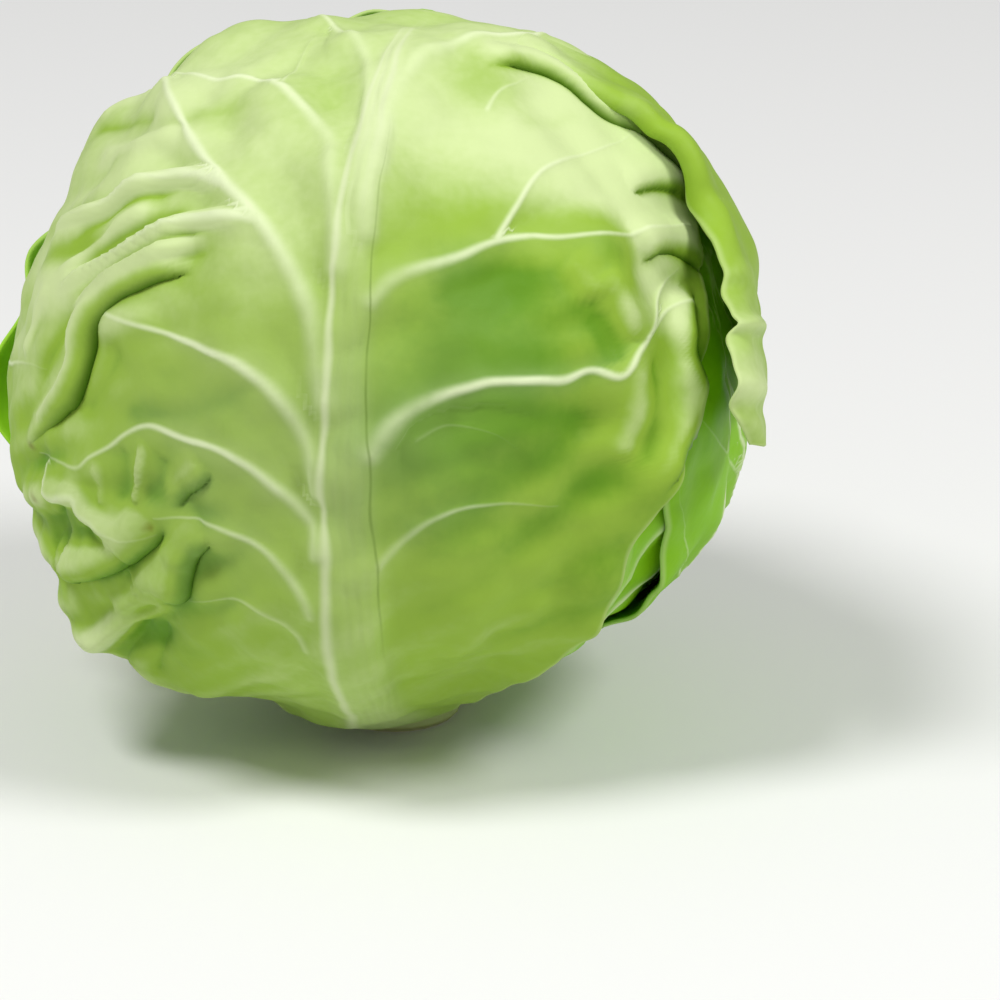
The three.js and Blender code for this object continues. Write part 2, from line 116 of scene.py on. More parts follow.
half = FLOOR_SIZE / 2
floor_mesh = bpy.data.meshes.new("floor")
corners = [(-half, -half, 0.0), (half, -half, 0.0), (half, half, 0.0), (-half, half, 0.0)]
floor_mesh.from_pydata(corners, [], [(0, 1, 2, 3)])
floor = bpy.data.objects.new("floor", floor_mesh)
bpy.context.scene.collection.objects.link(floor)
floor_paint = bpy.data.materials.new("floor_paper")
floor_paint.use_nodes = True
floor_shader = floor_paint.node_tree.nodes["Principled BSDF"]
floor_shader.inputs["Base Color"].default_value = FLOOR_COLOUR
floor_shader.inputs["Roughness"].default_value = 0.9
floor_mesh.materials.append(floor_paint)
print("floor and", len(bpy.data.lights), "lamps")

# %% [markdown]
# Every leaf is worked out from directions. A direction from the head's centre has a polar angle,
# counted from straight down, and an azimuth, counted from the front towards the right. Arrays of
# directions go through numpy at once, which keeps a net of fifty thousand points quick.

# %% Directions from the head's centre
HEAD_RADIUS = 95.0  # turns degrees on the head into millimetres
MM_PER_DEGREE = HEAD_RADIUS * math.pi / 180
STUMP_CLEARANCE = 14.0
CLEARANCE_FADE = 24.0
HALVINGS = 30
NOISE_WAVES = 20
NOISE_SPREAD = (0.7, 1.4)  # of the waves' lengths round the wavelength asked for


def smooth(x, low, high):
    t = np.clip((x - low) / (high - low), 0.0, 1.0)
    return t * t * (3.0 - 2.0 * t)


def bell(x):
    return np.exp(-np.square(x))


def unit(v):
    """Vectors of length one, and a zero vector as it is."""
    return v / np.maximum(np.linalg.norm(v, axis=-1, keepdims=True), 1e-12)


def direction(polar, azimuth):
    p, a = np.radians(polar), np.radians(azimuth)
    return np.stack([np.sin(p) * np.sin(a), -np.sin(p) * np.cos(a), -np.cos(p) + 0 * a], axis=-1)


def polar_of(n):
    return np.degrees(np.arccos(np.clip(-n[..., 2], -1.0, 1.0)))


def spot(n, polar, azimuth, spread):
    """1 at one direction, falling off round it over spread degrees."""
    away = np.degrees(np.arccos(np.clip(n @ direction(polar, azimuth), -1.0, 1.0)))
    return bell(away / spread)


def round_stump(n):
    """Pushes directions near the stump outwards, so that a leaf's foot opens round it."""
    polar = polar_of(n)
    azimuth = np.degrees(np.arctan2(n[..., 0], -n[..., 1]))
    return direction(polar + STUMP_CLEARANCE * np.exp(-polar / CLEARANCE_FADE), azimuth)


def before_stump(n):
    """The inverse of round_stump, by bisection."""
    low, high = np.zeros(n.shape[:-1]), np.full(n.shape[:-1], 180.0)
    azimuth = np.degrees(np.arctan2(n[..., 0], -n[..., 1]))
    for _ in range(HALVINGS):
        polar = (low + high) / 2
        short = polar + STUMP_CLEARANCE * np.exp(-polar / CLEARANCE_FADE) < polar_of(n)
        low, high = np.where(short, polar, low), np.where(short, high, polar)
    return direction(low, azimuth)


def soft_noise(p, wavelength, seed):
    """Smooth noise of about unit size from a sum of sine waves."""
    rng = np.random.default_rng(seed)
    turns = unit(rng.normal(size=(NOISE_WAVES, 3))) * rng.uniform(*NOISE_SPREAD, (NOISE_WAVES, 1))
    phases = rng.uniform(0.0, 2 * math.pi, NOISE_WAVES)
    total = np.zeros(p.shape[:-1])
    for turn, phase in zip(turns * 2 * math.pi / wavelength, phases):
        total += np.sin(p @ turn + phase)
    return total / math.sqrt(NOISE_WAVES / 2)


print("front, mm:", np.round(direction(90.0, 0.0) * HEAD_RADIUS, 1))

# %% [markdown]
# The heart is a blunt ball with a flat foot, fuller on the left and low down. Leaves are stacked
# on it one by one: where a leaf lies over a place, everything outside it stands higher by its
# thickness, a gap of air and its midrib.

# %% The heart and the stack of leaves
HEART_RADIUS = 81.0
HEART_HALF_HEIGHT = 77.0
HEART_SQUARENESS = 2.2
HEART_FOOT = 75.0
FOOT_SHARPNESS = 8.0
# wave over the ball, its phase, its height
LUMPS = [((2.1, 1.3, 2.6), 0.4, 0.9), ((-2.9, 2.2, 1.1), 2.1, 0.7), ((1.2, -3.4, 2.3), 4.0, 0.6)]
# middle (polar, azimuth), spread in degrees, height
BULGES = [(85, 275, 42, 8.0), (45, 315, 32, 4.0), (155, 220, 45, 4.0), (125, 85, 32, -4.0)]
LEAF_THICKNESS = 1.0
LEAF_GAP = 1.7
TIGHTER_FOOT = 0.9
FOOT_GAP_RANGE = (15.0, 50.0)
BASE_THICKENING = 0.8
BASE_FADE = 16.0
COLLAR = (8.0, 36.0)
COVER_MARGIN = 3.0
COVER_FADE = 14.0
FOOT_POINT_WIDTH = 7.0
FOOT_POINT_GAP = 1.5
RIB_FOOT_WIDTH = 9.0
RIB_TIP_WIDTH = 2.0
RIB_HEIGHT_TAPER = 1.3
RIB_TIP_HEIGHT = 0.5
RIB_START = (8.0, 34.0)
RIB_END = (0.78, 0.97)
RIB_CLEARANCE = 6.0
RUFFLE_DEPTH = 13.0
RUFFLE_START = (15.0, 50.0)
RUFFLE_UNEVENNESS = 0.8
FLARE_CURVE = 1.5


class Leaf:
    """A wrapper leaf: where its blade's middle is, its outline in degrees, and its form.

    The outline holds twelve reaches from the middle, the first one down to the foot. The rib has
    a bend, a sway near its tip and a height, the ruffle a height, a count of waves and a phase, and
    each flare of the margin a turn, a spread, a height and a depth.
    """

    def __init__(self, name, azimuth, middle, outline, rib, ruffle, flares=()):
        self.name = name
        self.middle = middle
        self.outline = np.array(outline, dtype=float)
        self.rib_bend, self.rib_sway, self.rib_height = rib
        self.ruffle = ruffle
        self.flares = flares
        self.azimuth = azimuth
        p, a = math.radians(middle), math.radians(azimuth)
        self.centre = direction(middle, azimuth)
        self.right = np.array([math.cos(a), math.sin(a), 0.0])
        self.up = np.array([math.cos(p) * math.sin(a), -math.cos(p) * math.cos(a), math.sin(p)])
        self.length = middle + outline[6]

    def chart(self, n):
        """Degrees of reach from the blade's middle, and of turn from its foot."""
        reach = np.degrees(np.arccos(np.clip(n @ self.centre, -1.0, 1.0)))
        return reach, np.degrees(np.arctan2(n @ self.right, -(n @ self.up)))

    def place(self, reach, turn):
        r, t = np.radians(reach), np.radians(turn)
        out = np.cos(r)[..., None] * self.centre
        out = out + (np.sin(r) * np.sin(t))[..., None] * self.right
        return out - (np.sin(r) * np.cos(t))[..., None] * self.up

    def outline_reach(self, turn):
        count = len(self.outline)
        at = np.mod(turn, 360.0) / (360.0 / count)
        k = np.floor(at).astype(int)
        t = at - k
        a, b, c, d = [self.outline[(k + i) % count] for i in (-1, 0, 1, 2)]
        curve = c - a + t * (2 * a - 5 * b + 4 * c - d + t * (3 * (b - c) + d - a))
        from_foot = np.mod(turn + 180.0, 360.0) - 180.0
        foot = self.middle - FOOT_POINT_GAP - self.outline[0]
        return b + 0.5 * t * curve + foot * bell(from_foot / FOOT_POINT_WIDTH)

    def inside(self, n):
        """Degrees in from the margin, negative outside the leaf."""
        reach, turn = self.chart(n)
        return self.outline_reach(turn) - reach

    def cover(self, n):
        bare = 1 - smooth(self.inside(n), -COVER_FADE, -COVER_MARGIN)
        return 1 - bare * smooth(polar_of(n), *COLLAR)

    def rib_place(self, n):
        """Share of the leaf's length, and millimetres to the right of the midrib's middle line."""
        reach, turn = self.chart(n)
        share = (self.middle - reach * np.cos(np.radians(turn))) / self.length
        s = np.clip(share, 0.0, 1.0)
        path = self.rib_bend * np.sin(math.pi * s) + self.rib_sway * s**6
        return share, reach * np.sin(np.radians(turn)) * MM_PER_DEGREE - path

    def rib_width(self, share):
        return RIB_TIP_WIDTH + RIB_FOOT_WIDTH * np.clip(1 - share, 0.0, 1.0)

    def rib_profile(self, n, clearance=0.0):
        """The midrib's height over the blade, in millimetres."""
        share, across = self.rib_place(n)
        left = np.clip(1 - share, 0.0, 1.0)
        width = self.rib_width(share) + clearance
        height = RIB_TIP_HEIGHT + self.rib_height * left**RIB_HEIGHT_TAPER
        ends = smooth(polar_of(n), *RIB_START) * (1 - smooth(share, *RIB_END))
        return height * ends * np.exp(-((across / width) ** 4))


LEAVES = [
    Leaf("leaf_inner_front", 40, 88, [78, 62, 58, 60, 66, 74, 82, 76, 68, 62, 60, 64],
         (4, 0, 2.8), (1.0, 11, 0.7)),
    Leaf("leaf_left", 290, 88, [78, 66, 62, 64, 70, 80, 86, 80, 72, 66, 64, 68],
         (-5, 0, 2.8), (1.2, 12, 2.3)),
    Leaf("leaf_back", 160, 92, [82, 70, 66, 68, 76, 86, 94, 88, 76, 70, 66, 70],
         (5, 0, 3.0), (1.4, 13, 1.1), [(185, 30, 2.5, 16)]),
    Leaf("leaf_right", 112, 86, [76, 64, 62, 66, 72, 80, 84, 78, 70, 62, 56, 60],
         (-4, 0, 3.0), (1.6, 12, 0.2), [(105, 28, 4.0, 16)]),
    Leaf("leaf_front", -4, 97, [88, 66, 52, 56, 78, 93, 94, 93, 94, 88, 74, 74],
         (-4.5, 14, 3.2), (1.2, 14, 1.9), [(80, 22, 3.0, 12)]),
    Leaf("leaf_back_left", 212, 86, [76, 64, 58, 52, 45, 46, 53, 62, 68, 64, 60, 64],
         (5, 0, 3.4), (2.0, 12, 3.4), [(82, 12, 3.5, 13), (200, 35, 3.0, 15), (290, 30, 4.0, 15)]),
]
FRONT = 4
BACK_LEFT = 5


def heart_radius(n):
    across = np.hypot(n[..., 0], n[..., 1]) / HEART_RADIUS
    upward = np.abs(n[..., 2]) / HEART_HALF_HEIGHT
    ball = (across**HEART_SQUARENESS + upward**HEART_SQUARENESS) ** (-1 / HEART_SQUARENESS)
    foot = HEART_FOOT / np.maximum(-n[..., 2], 1e-6)
    flat = (ball**-FOOT_SHARPNESS + foot**-FOOT_SHARPNESS) ** (-1 / FOOT_SHARPNESS)
    radius = np.where(n[..., 2] < 0, flat, ball)
    for wave, phase, height in LUMPS:
        radius = radius + height * np.sin(n @ np.array(wave) + phase)
    for polar, azimuth, spread, height in BULGES:
        radius = radius + height * spot(n, polar, azimuth, spread)
    return radius


def blade_thickness(n):
    return LEAF_THICKNESS + BASE_THICKENING * bell(polar_of(n) / BASE_FADE)


def gap_at(n):
    return LEAF_GAP * (TIGHTER_FOOT + (1 - TIGHTER_FOOT) * smooth(polar_of(n), *FOOT_GAP_RANGE))


def underside(index, n):
    """Radius of the inner face of a leaf, over every leaf that lies inside it."""
    radius = heart_radius(round_stump(n)) + gap_at(n)
    for inner in LEAVES[:index]:
        stack = blade_thickness(n) + gap_at(n) + inner.rib_profile(n, RIB_CLEARANCE)
        radius = radius + inner.cover(n) * stack
    return radius


def freedom(index, n):
    """0 where another leaf lies over this one, 1 in the open."""
    free = np.ones(n.shape[:-1])
    for outer in LEAVES[index + 1:]:
        free = free * (1 - outer.cover(n))
    return free


def margin_lift(index, n):
    leaf = LEAVES[index]
    turn = leaf.chart(n)[1]
    inside = leaf.inside(n)
    height, waves, phase = leaf.ruffle
    t = np.radians(turn)
    wave = np.sin(waves * t + phase + RUFFLE_UNEVENNESS * np.sin(3 * t))
    lift = height * (1 - smooth(inside, 0.0, RUFFLE_DEPTH)) * (1 + wave)
    for flare_turn, spread, flare, depth in leaf.flares:
        away = np.mod(turn - flare_turn + 180.0, 360.0) - 180.0
        lift = lift + flare * bell(away / spread) * (1 - smooth(inside, 0.0, depth)) ** FLARE_CURVE
    return lift * freedom(index, n) * smooth(polar_of(n), *RUFFLE_START)


print("leaves, inside to outside:", ", ".join(leaf.name for leaf in LEAVES))

# %% [markdown]
# Folds and veins of the front leaf are drawn as the eye sees them, on a front elevation in
# millimetres from the head's centre. This helper lifts such a drawing onto the leaf: a ray from
# the eye is cut with a ball, whose radius is corrected a few times to the leaf's own.

# %% From the front elevation onto the leaf
LIFTING_ROUNDS = 4
CURVE_STEPS = 24  # points between two given ones


def on_front(points, radius):
    points = np.asarray(points, dtype=float)
    eye = view_back * VIEW_DISTANCE
    ray = unit(points[:, :1] * view_right + points[:, 1:] * view_up - eye)
    along = -(ray @ eye)
    miss = VIEW_DISTANCE**2 - along**2
    depth = np.sqrt(np.maximum(np.square(radius) - miss, 0.0))
    return unit(eye + ray * (along - depth)[:, None])


def drawn_on_leaf(points, index):
    radius = np.full(len(points), HEAD_RADIUS)
    for _ in range(LIFTING_ROUNDS):
        n = before_stump(on_front(points, radius))
        radius = underside(index, n) + LEAF_THICKNESS
    return n


def curve_through(points, spacing):
    """Even points on a Catmull-Rom curve through the given directions."""
    ends = np.concatenate([[2 * points[0] - points[1]], points, [2 * points[-1] - points[-2]]])
    t = np.linspace(0.0, 1.0, CURVE_STEPS, endpoint=False)[:, None]
    parts = []
    for a, b, c, d in zip(ends, ends[1:], ends[2:], ends[3:]):
        curve = c - a + t * (2 * a - 5 * b + 4 * c - d + t * (3 * (b - c) + d - a))
        parts.append(b + 0.5 * t * curve)
    dense = np.concatenate(parts + [points[-1:]])
    walked = np.concatenate([[0.0], np.cumsum(np.linalg.norm(np.diff(dense, axis=0), axis=1))])
    count = max(int(walked[-1] * HEAD_RADIUS / spacing), 3)
    even = np.linspace(0.0, walked[-1], count + 1)
    return unit(np.stack([np.interp(even, walked, dense[:, k]) for k in range(3)], axis=1))


middle = drawn_on_leaf([(0.0, 0.0)], FRONT)
print("middle of the elevation, polar angle:", polar_of(middle).round(1))

# %% [markdown]
# A fold is a line with a raised side. Seen in section, the blade rises from the line as the
# quarter of a circle, a round roll that leans a little over the line, and then it sinks slowly
# back. This leaves a sharp dark groove under the roll. A crinkle is a line too, with a low
# rounded ridge along it or, where its height is negative, a valley.

# %% Folds and crinkles of the front leaf
# line, raised side (1 left, -1 right of a walker), lift, roll, overhang, how far the lift reaches
FOLDS = [
    ([(-48, 22.5), (-55, 22), (-61, 19.5), (-67, 16.5), (-71, 13.5), (-73.5, 9), (-75, 3),
      (-76, -3), (-79, -10), (-84, -15), (-90, -20)], -1, 4.6, 3.6, 2.8, 3.2),
    ([(-55.5, -41), (-57.5, -44), (-62.5, -48), (-68, -51), (-74, -51.5), (-79, -49), (-81, -44)],
     -1, 3.4, 4.0, 2.2, 6.0),
    ([(-43, -44), (-47, -47), (-49, -52), (-50, -57), (-52, -59), (-58, -60)],
     -1, 3.0, 3.4, 1.8, 6.0),
    ([(-43, -28), (-46.5, -31), (-51, -33.5), (-53, -38)], -1, 2.0, 3.0, 1.2, 5.0),
    ([(64, 25.5), (66.5, 28.5), (71, 28.5), (76, 25.5), (79, 20)], 1, 2.8, 3.4, 1.8, 6.0),
    ([(60, 42.5), (65, 43.5), (70, 42.5), (74, 39)], 1, 1.8, 2.8, 1.2, 5.0),
    ([(24, 73.5), (29, 75), (35, 75), (42, 72), (49, 66.5), (56, 61), (62, 57), (68, 50), (73, 43),
      (77, 35)], 1, 2.8, 3.0, 2.0, 4.0),
    ([(76.5, 19), (75, 12), (74.3, 5), (75.7, -2), (76.2, -7), (74.5, -13), (71, -20), (67, -28),
      (64, -34)], -1, 2.4, 2.6, 1.6, 4.5),
]
# line, height, half width
CRINKLES = [
    ([(-83.5, -28.5), (-81, -31), (-76, -32), (-74, -36), (-70, -39), (-65, -42)], 2.6, 2.4),
    ([(-81.5, -30.5), (-80, -33.5), (-81, -40), (-82, -44), (-81.5, -49)], -2.4, 1.8),
    ([(-66.5, -52), (-63.5, -53.5), (-63, -56)], -1.4, 1.5),
    ([(-70, -67), (-66.5, -61), (-62.5, -58.5), (-55, -60), (-52, -60)], 2.4, 2.6),
    ([(-60.5, -63), (-63.5, -69), (-64.5, -74)], -2.0, 2.2),
    ([(-57.5, -64), (-57, -69), (-56.5, -74)], -1.4, 1.8),
    ([(-61.5, -19), (-61, -24), (-63, -36)], 2.2, 1.3),
    ([(-72, -24), (-71, -30), (-71, -35)], 1.0, 1.3),
    ([(-38, 43.5), (-47, 46), (-53.5, 46), (-62.5, 43.5), (-72, 38.5), (-84, 33)], 2.8, 1.9),
    ([(-34, 34.5), (-42.5, 35.5), (-50.5, 34.5), (-57, 32.5), (-65, 28), (-74, 23), (-82, 17)],
     2.4, 1.8),
    ([(-30, 64), (-44, 62), (-58, 58), (-72, 52)], -1.0, 5.0),
    ([(-75, 62), (-66, 64), (-58, 68)], 0.8, 2.4),
    ([(-68, -12), (-52, -13), (-40, -10), (-30, -4)], -1.2, 4.0),
    ([(10, 14), (24, 20), (40, 22), (52, 22)], -1.4, 5.0),
    ([(10, -18), (24, -14), (42, -14), (56, -14)], -1.4, 5.0),
    ([(30, 60), (40, 60), (50, 64)], -0.8, 4.0),
    ([(62, 2), (62, -12), (58, -26)], 1.2, 3.0),
    ([(67, 4), (67, -12), (62, -28)], -1.2, 2.4),
    ([(49, 18), (52, 11), (56, 3), (58.5, -2)], -2.4, 3.4),
    ([(44, 25), (49, 19), (53, 10)], 1.2, 3.0),
    ([(-81.5, 22), (-76, 27), (-66, 34), (-57, 39)], 1.7, 1.5),
    ([(-79.5, 11), (-71.5, 18.5), (-61.5, 24.5), (-51.5, 29), (-43, 31.5)], 1.7, 1.5),
    ([(-80, 30), (-72, 35), (-64, 39.5), (-52, 42.5)], -2.2, 1.6),
    ([(-80, 19), (-70, 28), (-60, 34), (-48, 38)], -1.6, 1.4),
    ([(-78, 15), (-66, 24), (-56, 29), (-44, 33)], -1.8, 1.4),
    ([(-88, -9), (-85, -1), (-81, 7), (-74, 15.5), (-64, 21.5), (-54, 25.5), (-42, 28)], -2.0, 1.6),
    ([(-91, 2), (-88, 12), (-83, 20)], 1.2, 2.0),
    ([(-67, -20), (-66, -27), (-67, -36)], -1.4, 3.0),
    ([(-56, -22), (-57, -29), (-60, -36)], -1.4, 2.6),
    ([(-68, -50.5), (-64, -52.5), (-62.5, -57)], 1.4, 1.4),
    ([(-69.5, -66), (-65, -63), (-60, -62.5), (-54, -60.5)], 2.0, 1.6),
    ([(52, 22), (58, 14), (62, 5)], 1.4, 3.0),
    ([(-50, 56), (-62, 56), (-74, 51)], 1.4, 2.6),
    ([(-56, 62), (-66, 60), (-74, 57)], -1.2, 2.4),
    ([(-66, 6), (-72, -6), (-78, -14)], -1.4, 3.0),
    ([(-45, -50), (-55, -47), (-60, -51), (-62, -57)], 1.6, 2.6),
    ([(-76, -38), (-72, -44), (-65, -47)], -1.8, 2.6),
]
FOLD_SPACING = 1.0  # millimetres between the points of a fold's line
FOLD_SMOOTHING = 6
FOLD_START = (0.0, 0.14)
FOLD_FALL = (0.72, 1.0)
FOLD_END_FADE = 4.0
GROOVE = 0.3  # depth of the groove under a fold, as a share of its lift
GROOVE_WIDTH = 1.5
VALLEY_ROUNDING = 0.25  # valleys are sharper than ridges
# fold by its place in the list, how far on both sides the net is drawn together, and how much
CROWDED = [(0, 13.0, 1.0), (1, 6.0, 0.75), (2, 5.0, 0.75), (4, 5.0, 0.75), (6, 7.0, 0.85),
           (7, 5.0, 0.6)]
CRINKLE_END = 0.2  # share of its length in which a crinkle fades at either end


class Line:
    """A line on the leaf, with the signed distance to it from any direction."""

    def __init__(self, points, raised_side=1):
        self.points = curve_through(drawn_on_leaf(points, FRONT), FOLD_SPACING)
        for _ in range(FOLD_SMOOTHING):
            middle = (self.points[:-2] + 2 * self.points[1:-1] + self.points[2:]) / 4
            self.points = unit(np.concatenate([self.points[:1], middle, self.points[-1:]]))
        ahead = np.concatenate([self.points[1:], 2 * self.points[-1:] - self.points[-2:-1]])
        behind = np.concatenate([2 * self.points[:1] - self.points[1:2], self.points[:-1]])
        self.tangents = unit(ahead - behind)
        self.sides = unit(np.cross(self.points, self.tangents)) * raised_side

    def nearest(self, n):
        best = np.argmax(n @ self.points.T, axis=1)
        offset = n - self.points[best]
        side = self.sides[best]
        distance = np.sum(offset * side, axis=1) * HEAD_RADIUS
        past = np.abs(np.sum(offset * self.tangents[best], axis=1)) * HEAD_RADIUS
        at_end = (best == 0) | (best == len(self.points) - 1)
        fade = np.where(at_end, bell(past / FOLD_END_FADE), 1.0)
        return side, distance, best / (len(self.points) - 1), fade


fold_lines = [(Line(points, side), *form) for points, side, *form in FOLDS]
crinkle_lines = [(Line(points), height, width) for points, height, width in CRINKLES]


def crowd(n):
    """Draws the net's points together along the main folds, where the blade turns sharply."""
    for fold, reach, amount in CROWDED:
        side, distance, share, fade = fold_lines[fold][0].nearest(n)
        near = np.clip(np.abs(distance) / reach, 0.0, 1.0)
        move = amount * fade * smooth(share, *FOLD_START) * distance * (near - 1) / HEAD_RADIUS
        n = unit(n + side * move[:, None])
    return n


def fold_strength(share, fade):
    """A fold grows from its start and dies away at its end."""
    return fade * smooth(share, *FOLD_START) * (1 - smooth(share, *FOLD_FALL))


def valley(away):
    """A groove's section, with a sharper bottom than a ridge's top."""
    return np.exp(VALLEY_ROUNDING - np.sqrt(away**2 + VALLEY_ROUNDING**2))


def fold_shift(n):
    """Millimetres by which folds and crinkles raise the blade, and the way they lean."""
    up = np.zeros(len(n))
    lean = np.zeros_like(n)
    for line, lift, roll, overhang, reach in fold_lines:
        side, distance, share, fade = line.nearest(n)
        strength = fold_strength(share, fade)
        left = 1 - np.clip(distance / roll, 0.0, 1.0)
        rise = np.sqrt(np.maximum(1 - left * left, 0.0))
        past = np.maximum(distance - roll, 0.0)
        dip = GROOVE * lift * np.exp(-np.abs(distance) / GROOVE_WIDTH)
        up += strength * (lift * rise * bell(past / reach) - dip)
        lean -= side * (strength * overhang * rise * left)[:, None]
    for line, height, width in crinkle_lines:
        _, distance, share, fade = line.nearest(n)
        ends = smooth(share, 0.0, CRINKLE_END) * (1 - smooth(share, 1 - CRINKLE_END, 1.0))
        section = bell if height > 0 else valley
        up += height * fade * ends * section(distance / width)
    return up, lean


print(len(fold_lines), "folds and", len(crinkle_lines), "crinkles")

# %% [markdown]
# The blade isn't smooth between its folds: it swells in soft waves all over, and the pull of the
# side veins wrinkles it across the upper left and crumples it low on the left. Sums of sine waves
# make these, long ones everywhere and short ones only in those places.

# %% Swell and wrinkles
SWELL = ((46.0, 0.9), (21.0, 0.45), (10.0, 0.12))  # wavelength and height
# middle of the place (polar, azimuth), its spread, wavelength, height, and the way the ridges run
WRINKLES = [
    ((70.0, -56.0), 26.0, 9.0, 0.9, (-0.45, 0.75, -0.35)),
    ((112.0, -60.0), 20.0, 11.0, 0.6, (-0.45, 0.75, -0.35)),
    ((70.0, -62.0), 18.0, 6.0, 0.35, (0.3, 0.2, 0.9)),
    ((105.0, 45.0), 26.0, 14.0, 0.45, (0.8, 0.5, -0.3)),
    ((75.0, 25.0), 30.0, 17.0, 0.5, (0.8, 0.3, 0.5)),
]
WRINKLE_DRAW = 0.85  # 0 for round lumps, 1 for endless ridges
WRINKLE_SEED = 20


def ripples(n):
    p = n * HEAD_RADIUS
    waves = enumerate(SWELL)
    return sum(size * soft_noise(p, wavelength, seed) for seed, (wavelength, size) in waves)


def wrinkles(n):
    p = n * HEAD_RADIUS
    height = np.zeros(len(n))
    for k, ((polar, azimuth), spread, wavelength, size, grain) in enumerate(WRINKLES):
        grain = unit(np.array(grain))
        across = p - WRINKLE_DRAW * (p @ grain)[:, None] * grain
        place = spot(n, polar, azimuth, spread)
        height += size * place * soft_noise(across, wavelength, WRINKLE_SEED + k)
    return height


# where the blade stands off the leaf inside: middle (polar, azimuth), spread, height
LOOSE_PLACES = [((72.0, -58.0), 18.0, 1.2), ((46.0, -68.0), 15.0, 5.5)]
DEEPEST = 1.3  # a valley goes no deeper, as the next leaf lies under it
print("swell of", SWELL[0][1], "mm and", len(WRINKLES), "wrinkled places")

# %% [markdown]
# A leaf is built as a closed sheet. A square net is bent into a disc, so that its edge follows
# the leaf's margin, and its points are set on the head. Both faces are then moved half a
# thickness off it, the midrib is raised on the outer one, and a rounded rim joins them.

# %% Closed sheets
def net_directions(leaf, columns, rows, finer_left=0.0):
    u, v = np.meshgrid(np.linspace(-1.0, 1.0, columns + 1), np.linspace(-1.0, 1.0, rows + 1))
    u = u - finer_left * (1 - u * u)
    across = u * np.sqrt(1 - v * v / 2)
    upward = v * np.sqrt(1 - u * u / 2)
    turn = np.degrees(np.arctan2(across, -upward))
    reach = np.hypot(across, upward) * leaf.outline_reach(turn)
    return leaf.place(reach, turn).reshape(-1, 3)


def net_normals(points, columns, rows):
    grid = points.reshape(rows + 1, columns + 1, 3)
    rising = grid[1:, 1:] - grid[:-1, :-1]
    falling = grid[1:, :-1] - grid[:-1, 1:]
    cell = np.cross(rising, falling)
    normals = np.zeros_like(grid)
    for j in (0, 1):
        for i in (0, 1):
            normals[j:j + rows, i:i + columns] += cell
    return unit(normals.reshape(-1, 3))


def rim_loop(columns, rows):
    at = np.arange((columns + 1) * (rows + 1)).reshape(rows + 1, columns + 1)
    return np.concatenate([at[0, :-1], at[:-1, -1], at[-1, :0:-1], at[:0:-1, 0]])


def inward_neighbours(columns, rows):
    """For each point of the rim, the net's point one step inside it."""
    at = np.arange((columns + 1) * (rows + 1)).reshape(rows + 1, columns + 1)
    j, i = np.divmod(rim_loop(columns, rows), columns + 1)
    return at[np.clip(j, 1, rows - 1), np.clip(i, 1, columns - 1)]


def sheet_object(name, middle, thickness, rib, columns, rows, attributes):
    """A closed sheet of quads over a net of middle points, in metres, with point attributes."""
    normals = net_normals(middle, columns, rows)
    outer = middle + normals * (thickness / 2 + rib)[:, None]
    inner = middle - normals * (thickness / 2)[:, None]
    loop = rim_loop(columns, rows)
    outward = unit(middle[loop] - middle[inward_neighbours(columns, rows)])
    edge = (outer[loop] + inner[loop]) / 2 + outward * (thickness[loop] / 2)[:, None]
    count = len(middle)
    at = np.arange(count).reshape(rows + 1, columns + 1)
    a, b, c, d = at[:-1, :-1], at[:-1, 1:], at[1:, 1:], at[1:, :-1]
    quads = np.stack([a, b, c, d], axis=-1).reshape(-1, 4)
    corner = np.zeros((rows, columns), dtype=bool)
    corner[[0, 0, -1, -1], [0, -1, 0, -1]] = True
    plain = quads[~corner.reshape(-1)]
    faces = [tuple(q) for q in plain] + [tuple(count + q[::-1]) for q in plain]
    for k, (p, q, r, s) in enumerate(quads[corner.reshape(-1)]):
        split = ((p, q, r), (p, r, s)) if k in (0, 3) else ((p, q, s), (q, r, s))
        for triangle in split:
            faces.append(triangle)
            faces.append(tuple(count + m for m in reversed(triangle)))
    rim = 2 * count + np.arange(len(loop))
    following = np.roll(np.arange(len(loop)), -1)
    for k, m in enumerate(following):
        faces.append((loop[m], loop[k], rim[k], rim[m]))
        faces.append((rim[m], rim[k], count + loop[k], count + loop[m]))
    mesh = bpy.data.meshes.new(name)
    mesh.from_pydata((np.concatenate([outer, inner, edge]) * MM).tolist(), [], faces)
    for attribute, values in attributes.items():
        whole = np.concatenate([values, values, values[loop]])
        mesh.attributes.new(attribute, "FLOAT", "POINT").data.foreach_set("value", whole)
    face_side = np.concatenate([np.ones(count), np.zeros(count), np.full(len(loop), 0.5)])
    mesh.attributes.new("outer", "FLOAT", "POINT").data.foreach_set("value", face_side)
    mesh.polygons.foreach_set("use_smooth", np.ones(len(mesh.polygons), dtype=bool))
    mesh.update()
    sheet = bpy.data.objects.new(name, mesh)
    bpy.context.scene.collection.objects.link(sheet)
    return sheet


def place_on_head(n, radius):
    return round_stump(n) * radius[:, None] + head_centre


def front_relief(n):
    """Height of the front leaf's wrinkles and folds, held off the leaf inside, and their lean."""
    up, lean = fold_shift(n)
    up = up + wrinkles(n)
    for (polar, azimuth), spread, height in LOOSE_PLACES:
        up = up + height * spot(n, polar, azimuth, spread)
    return np.where(up < 0, DEEPEST * np.tanh(up / DEEPEST), up) * freedom(FRONT, n), lean


def blade_middle(index, n):
    """The middle of a leaf's blade over each direction."""
    radius = underside(index, n) + blade_thickness(n) / 2 + margin_lift(index, n) + ripples(n)
    if index != FRONT:
        return place_on_head(n, radius)
    up, lean = front_relief(n)
    return place_on_head(n, radius + up) + lean


print("rim of a 4 by 4 net:", rim_loop(4, 4).tolist())

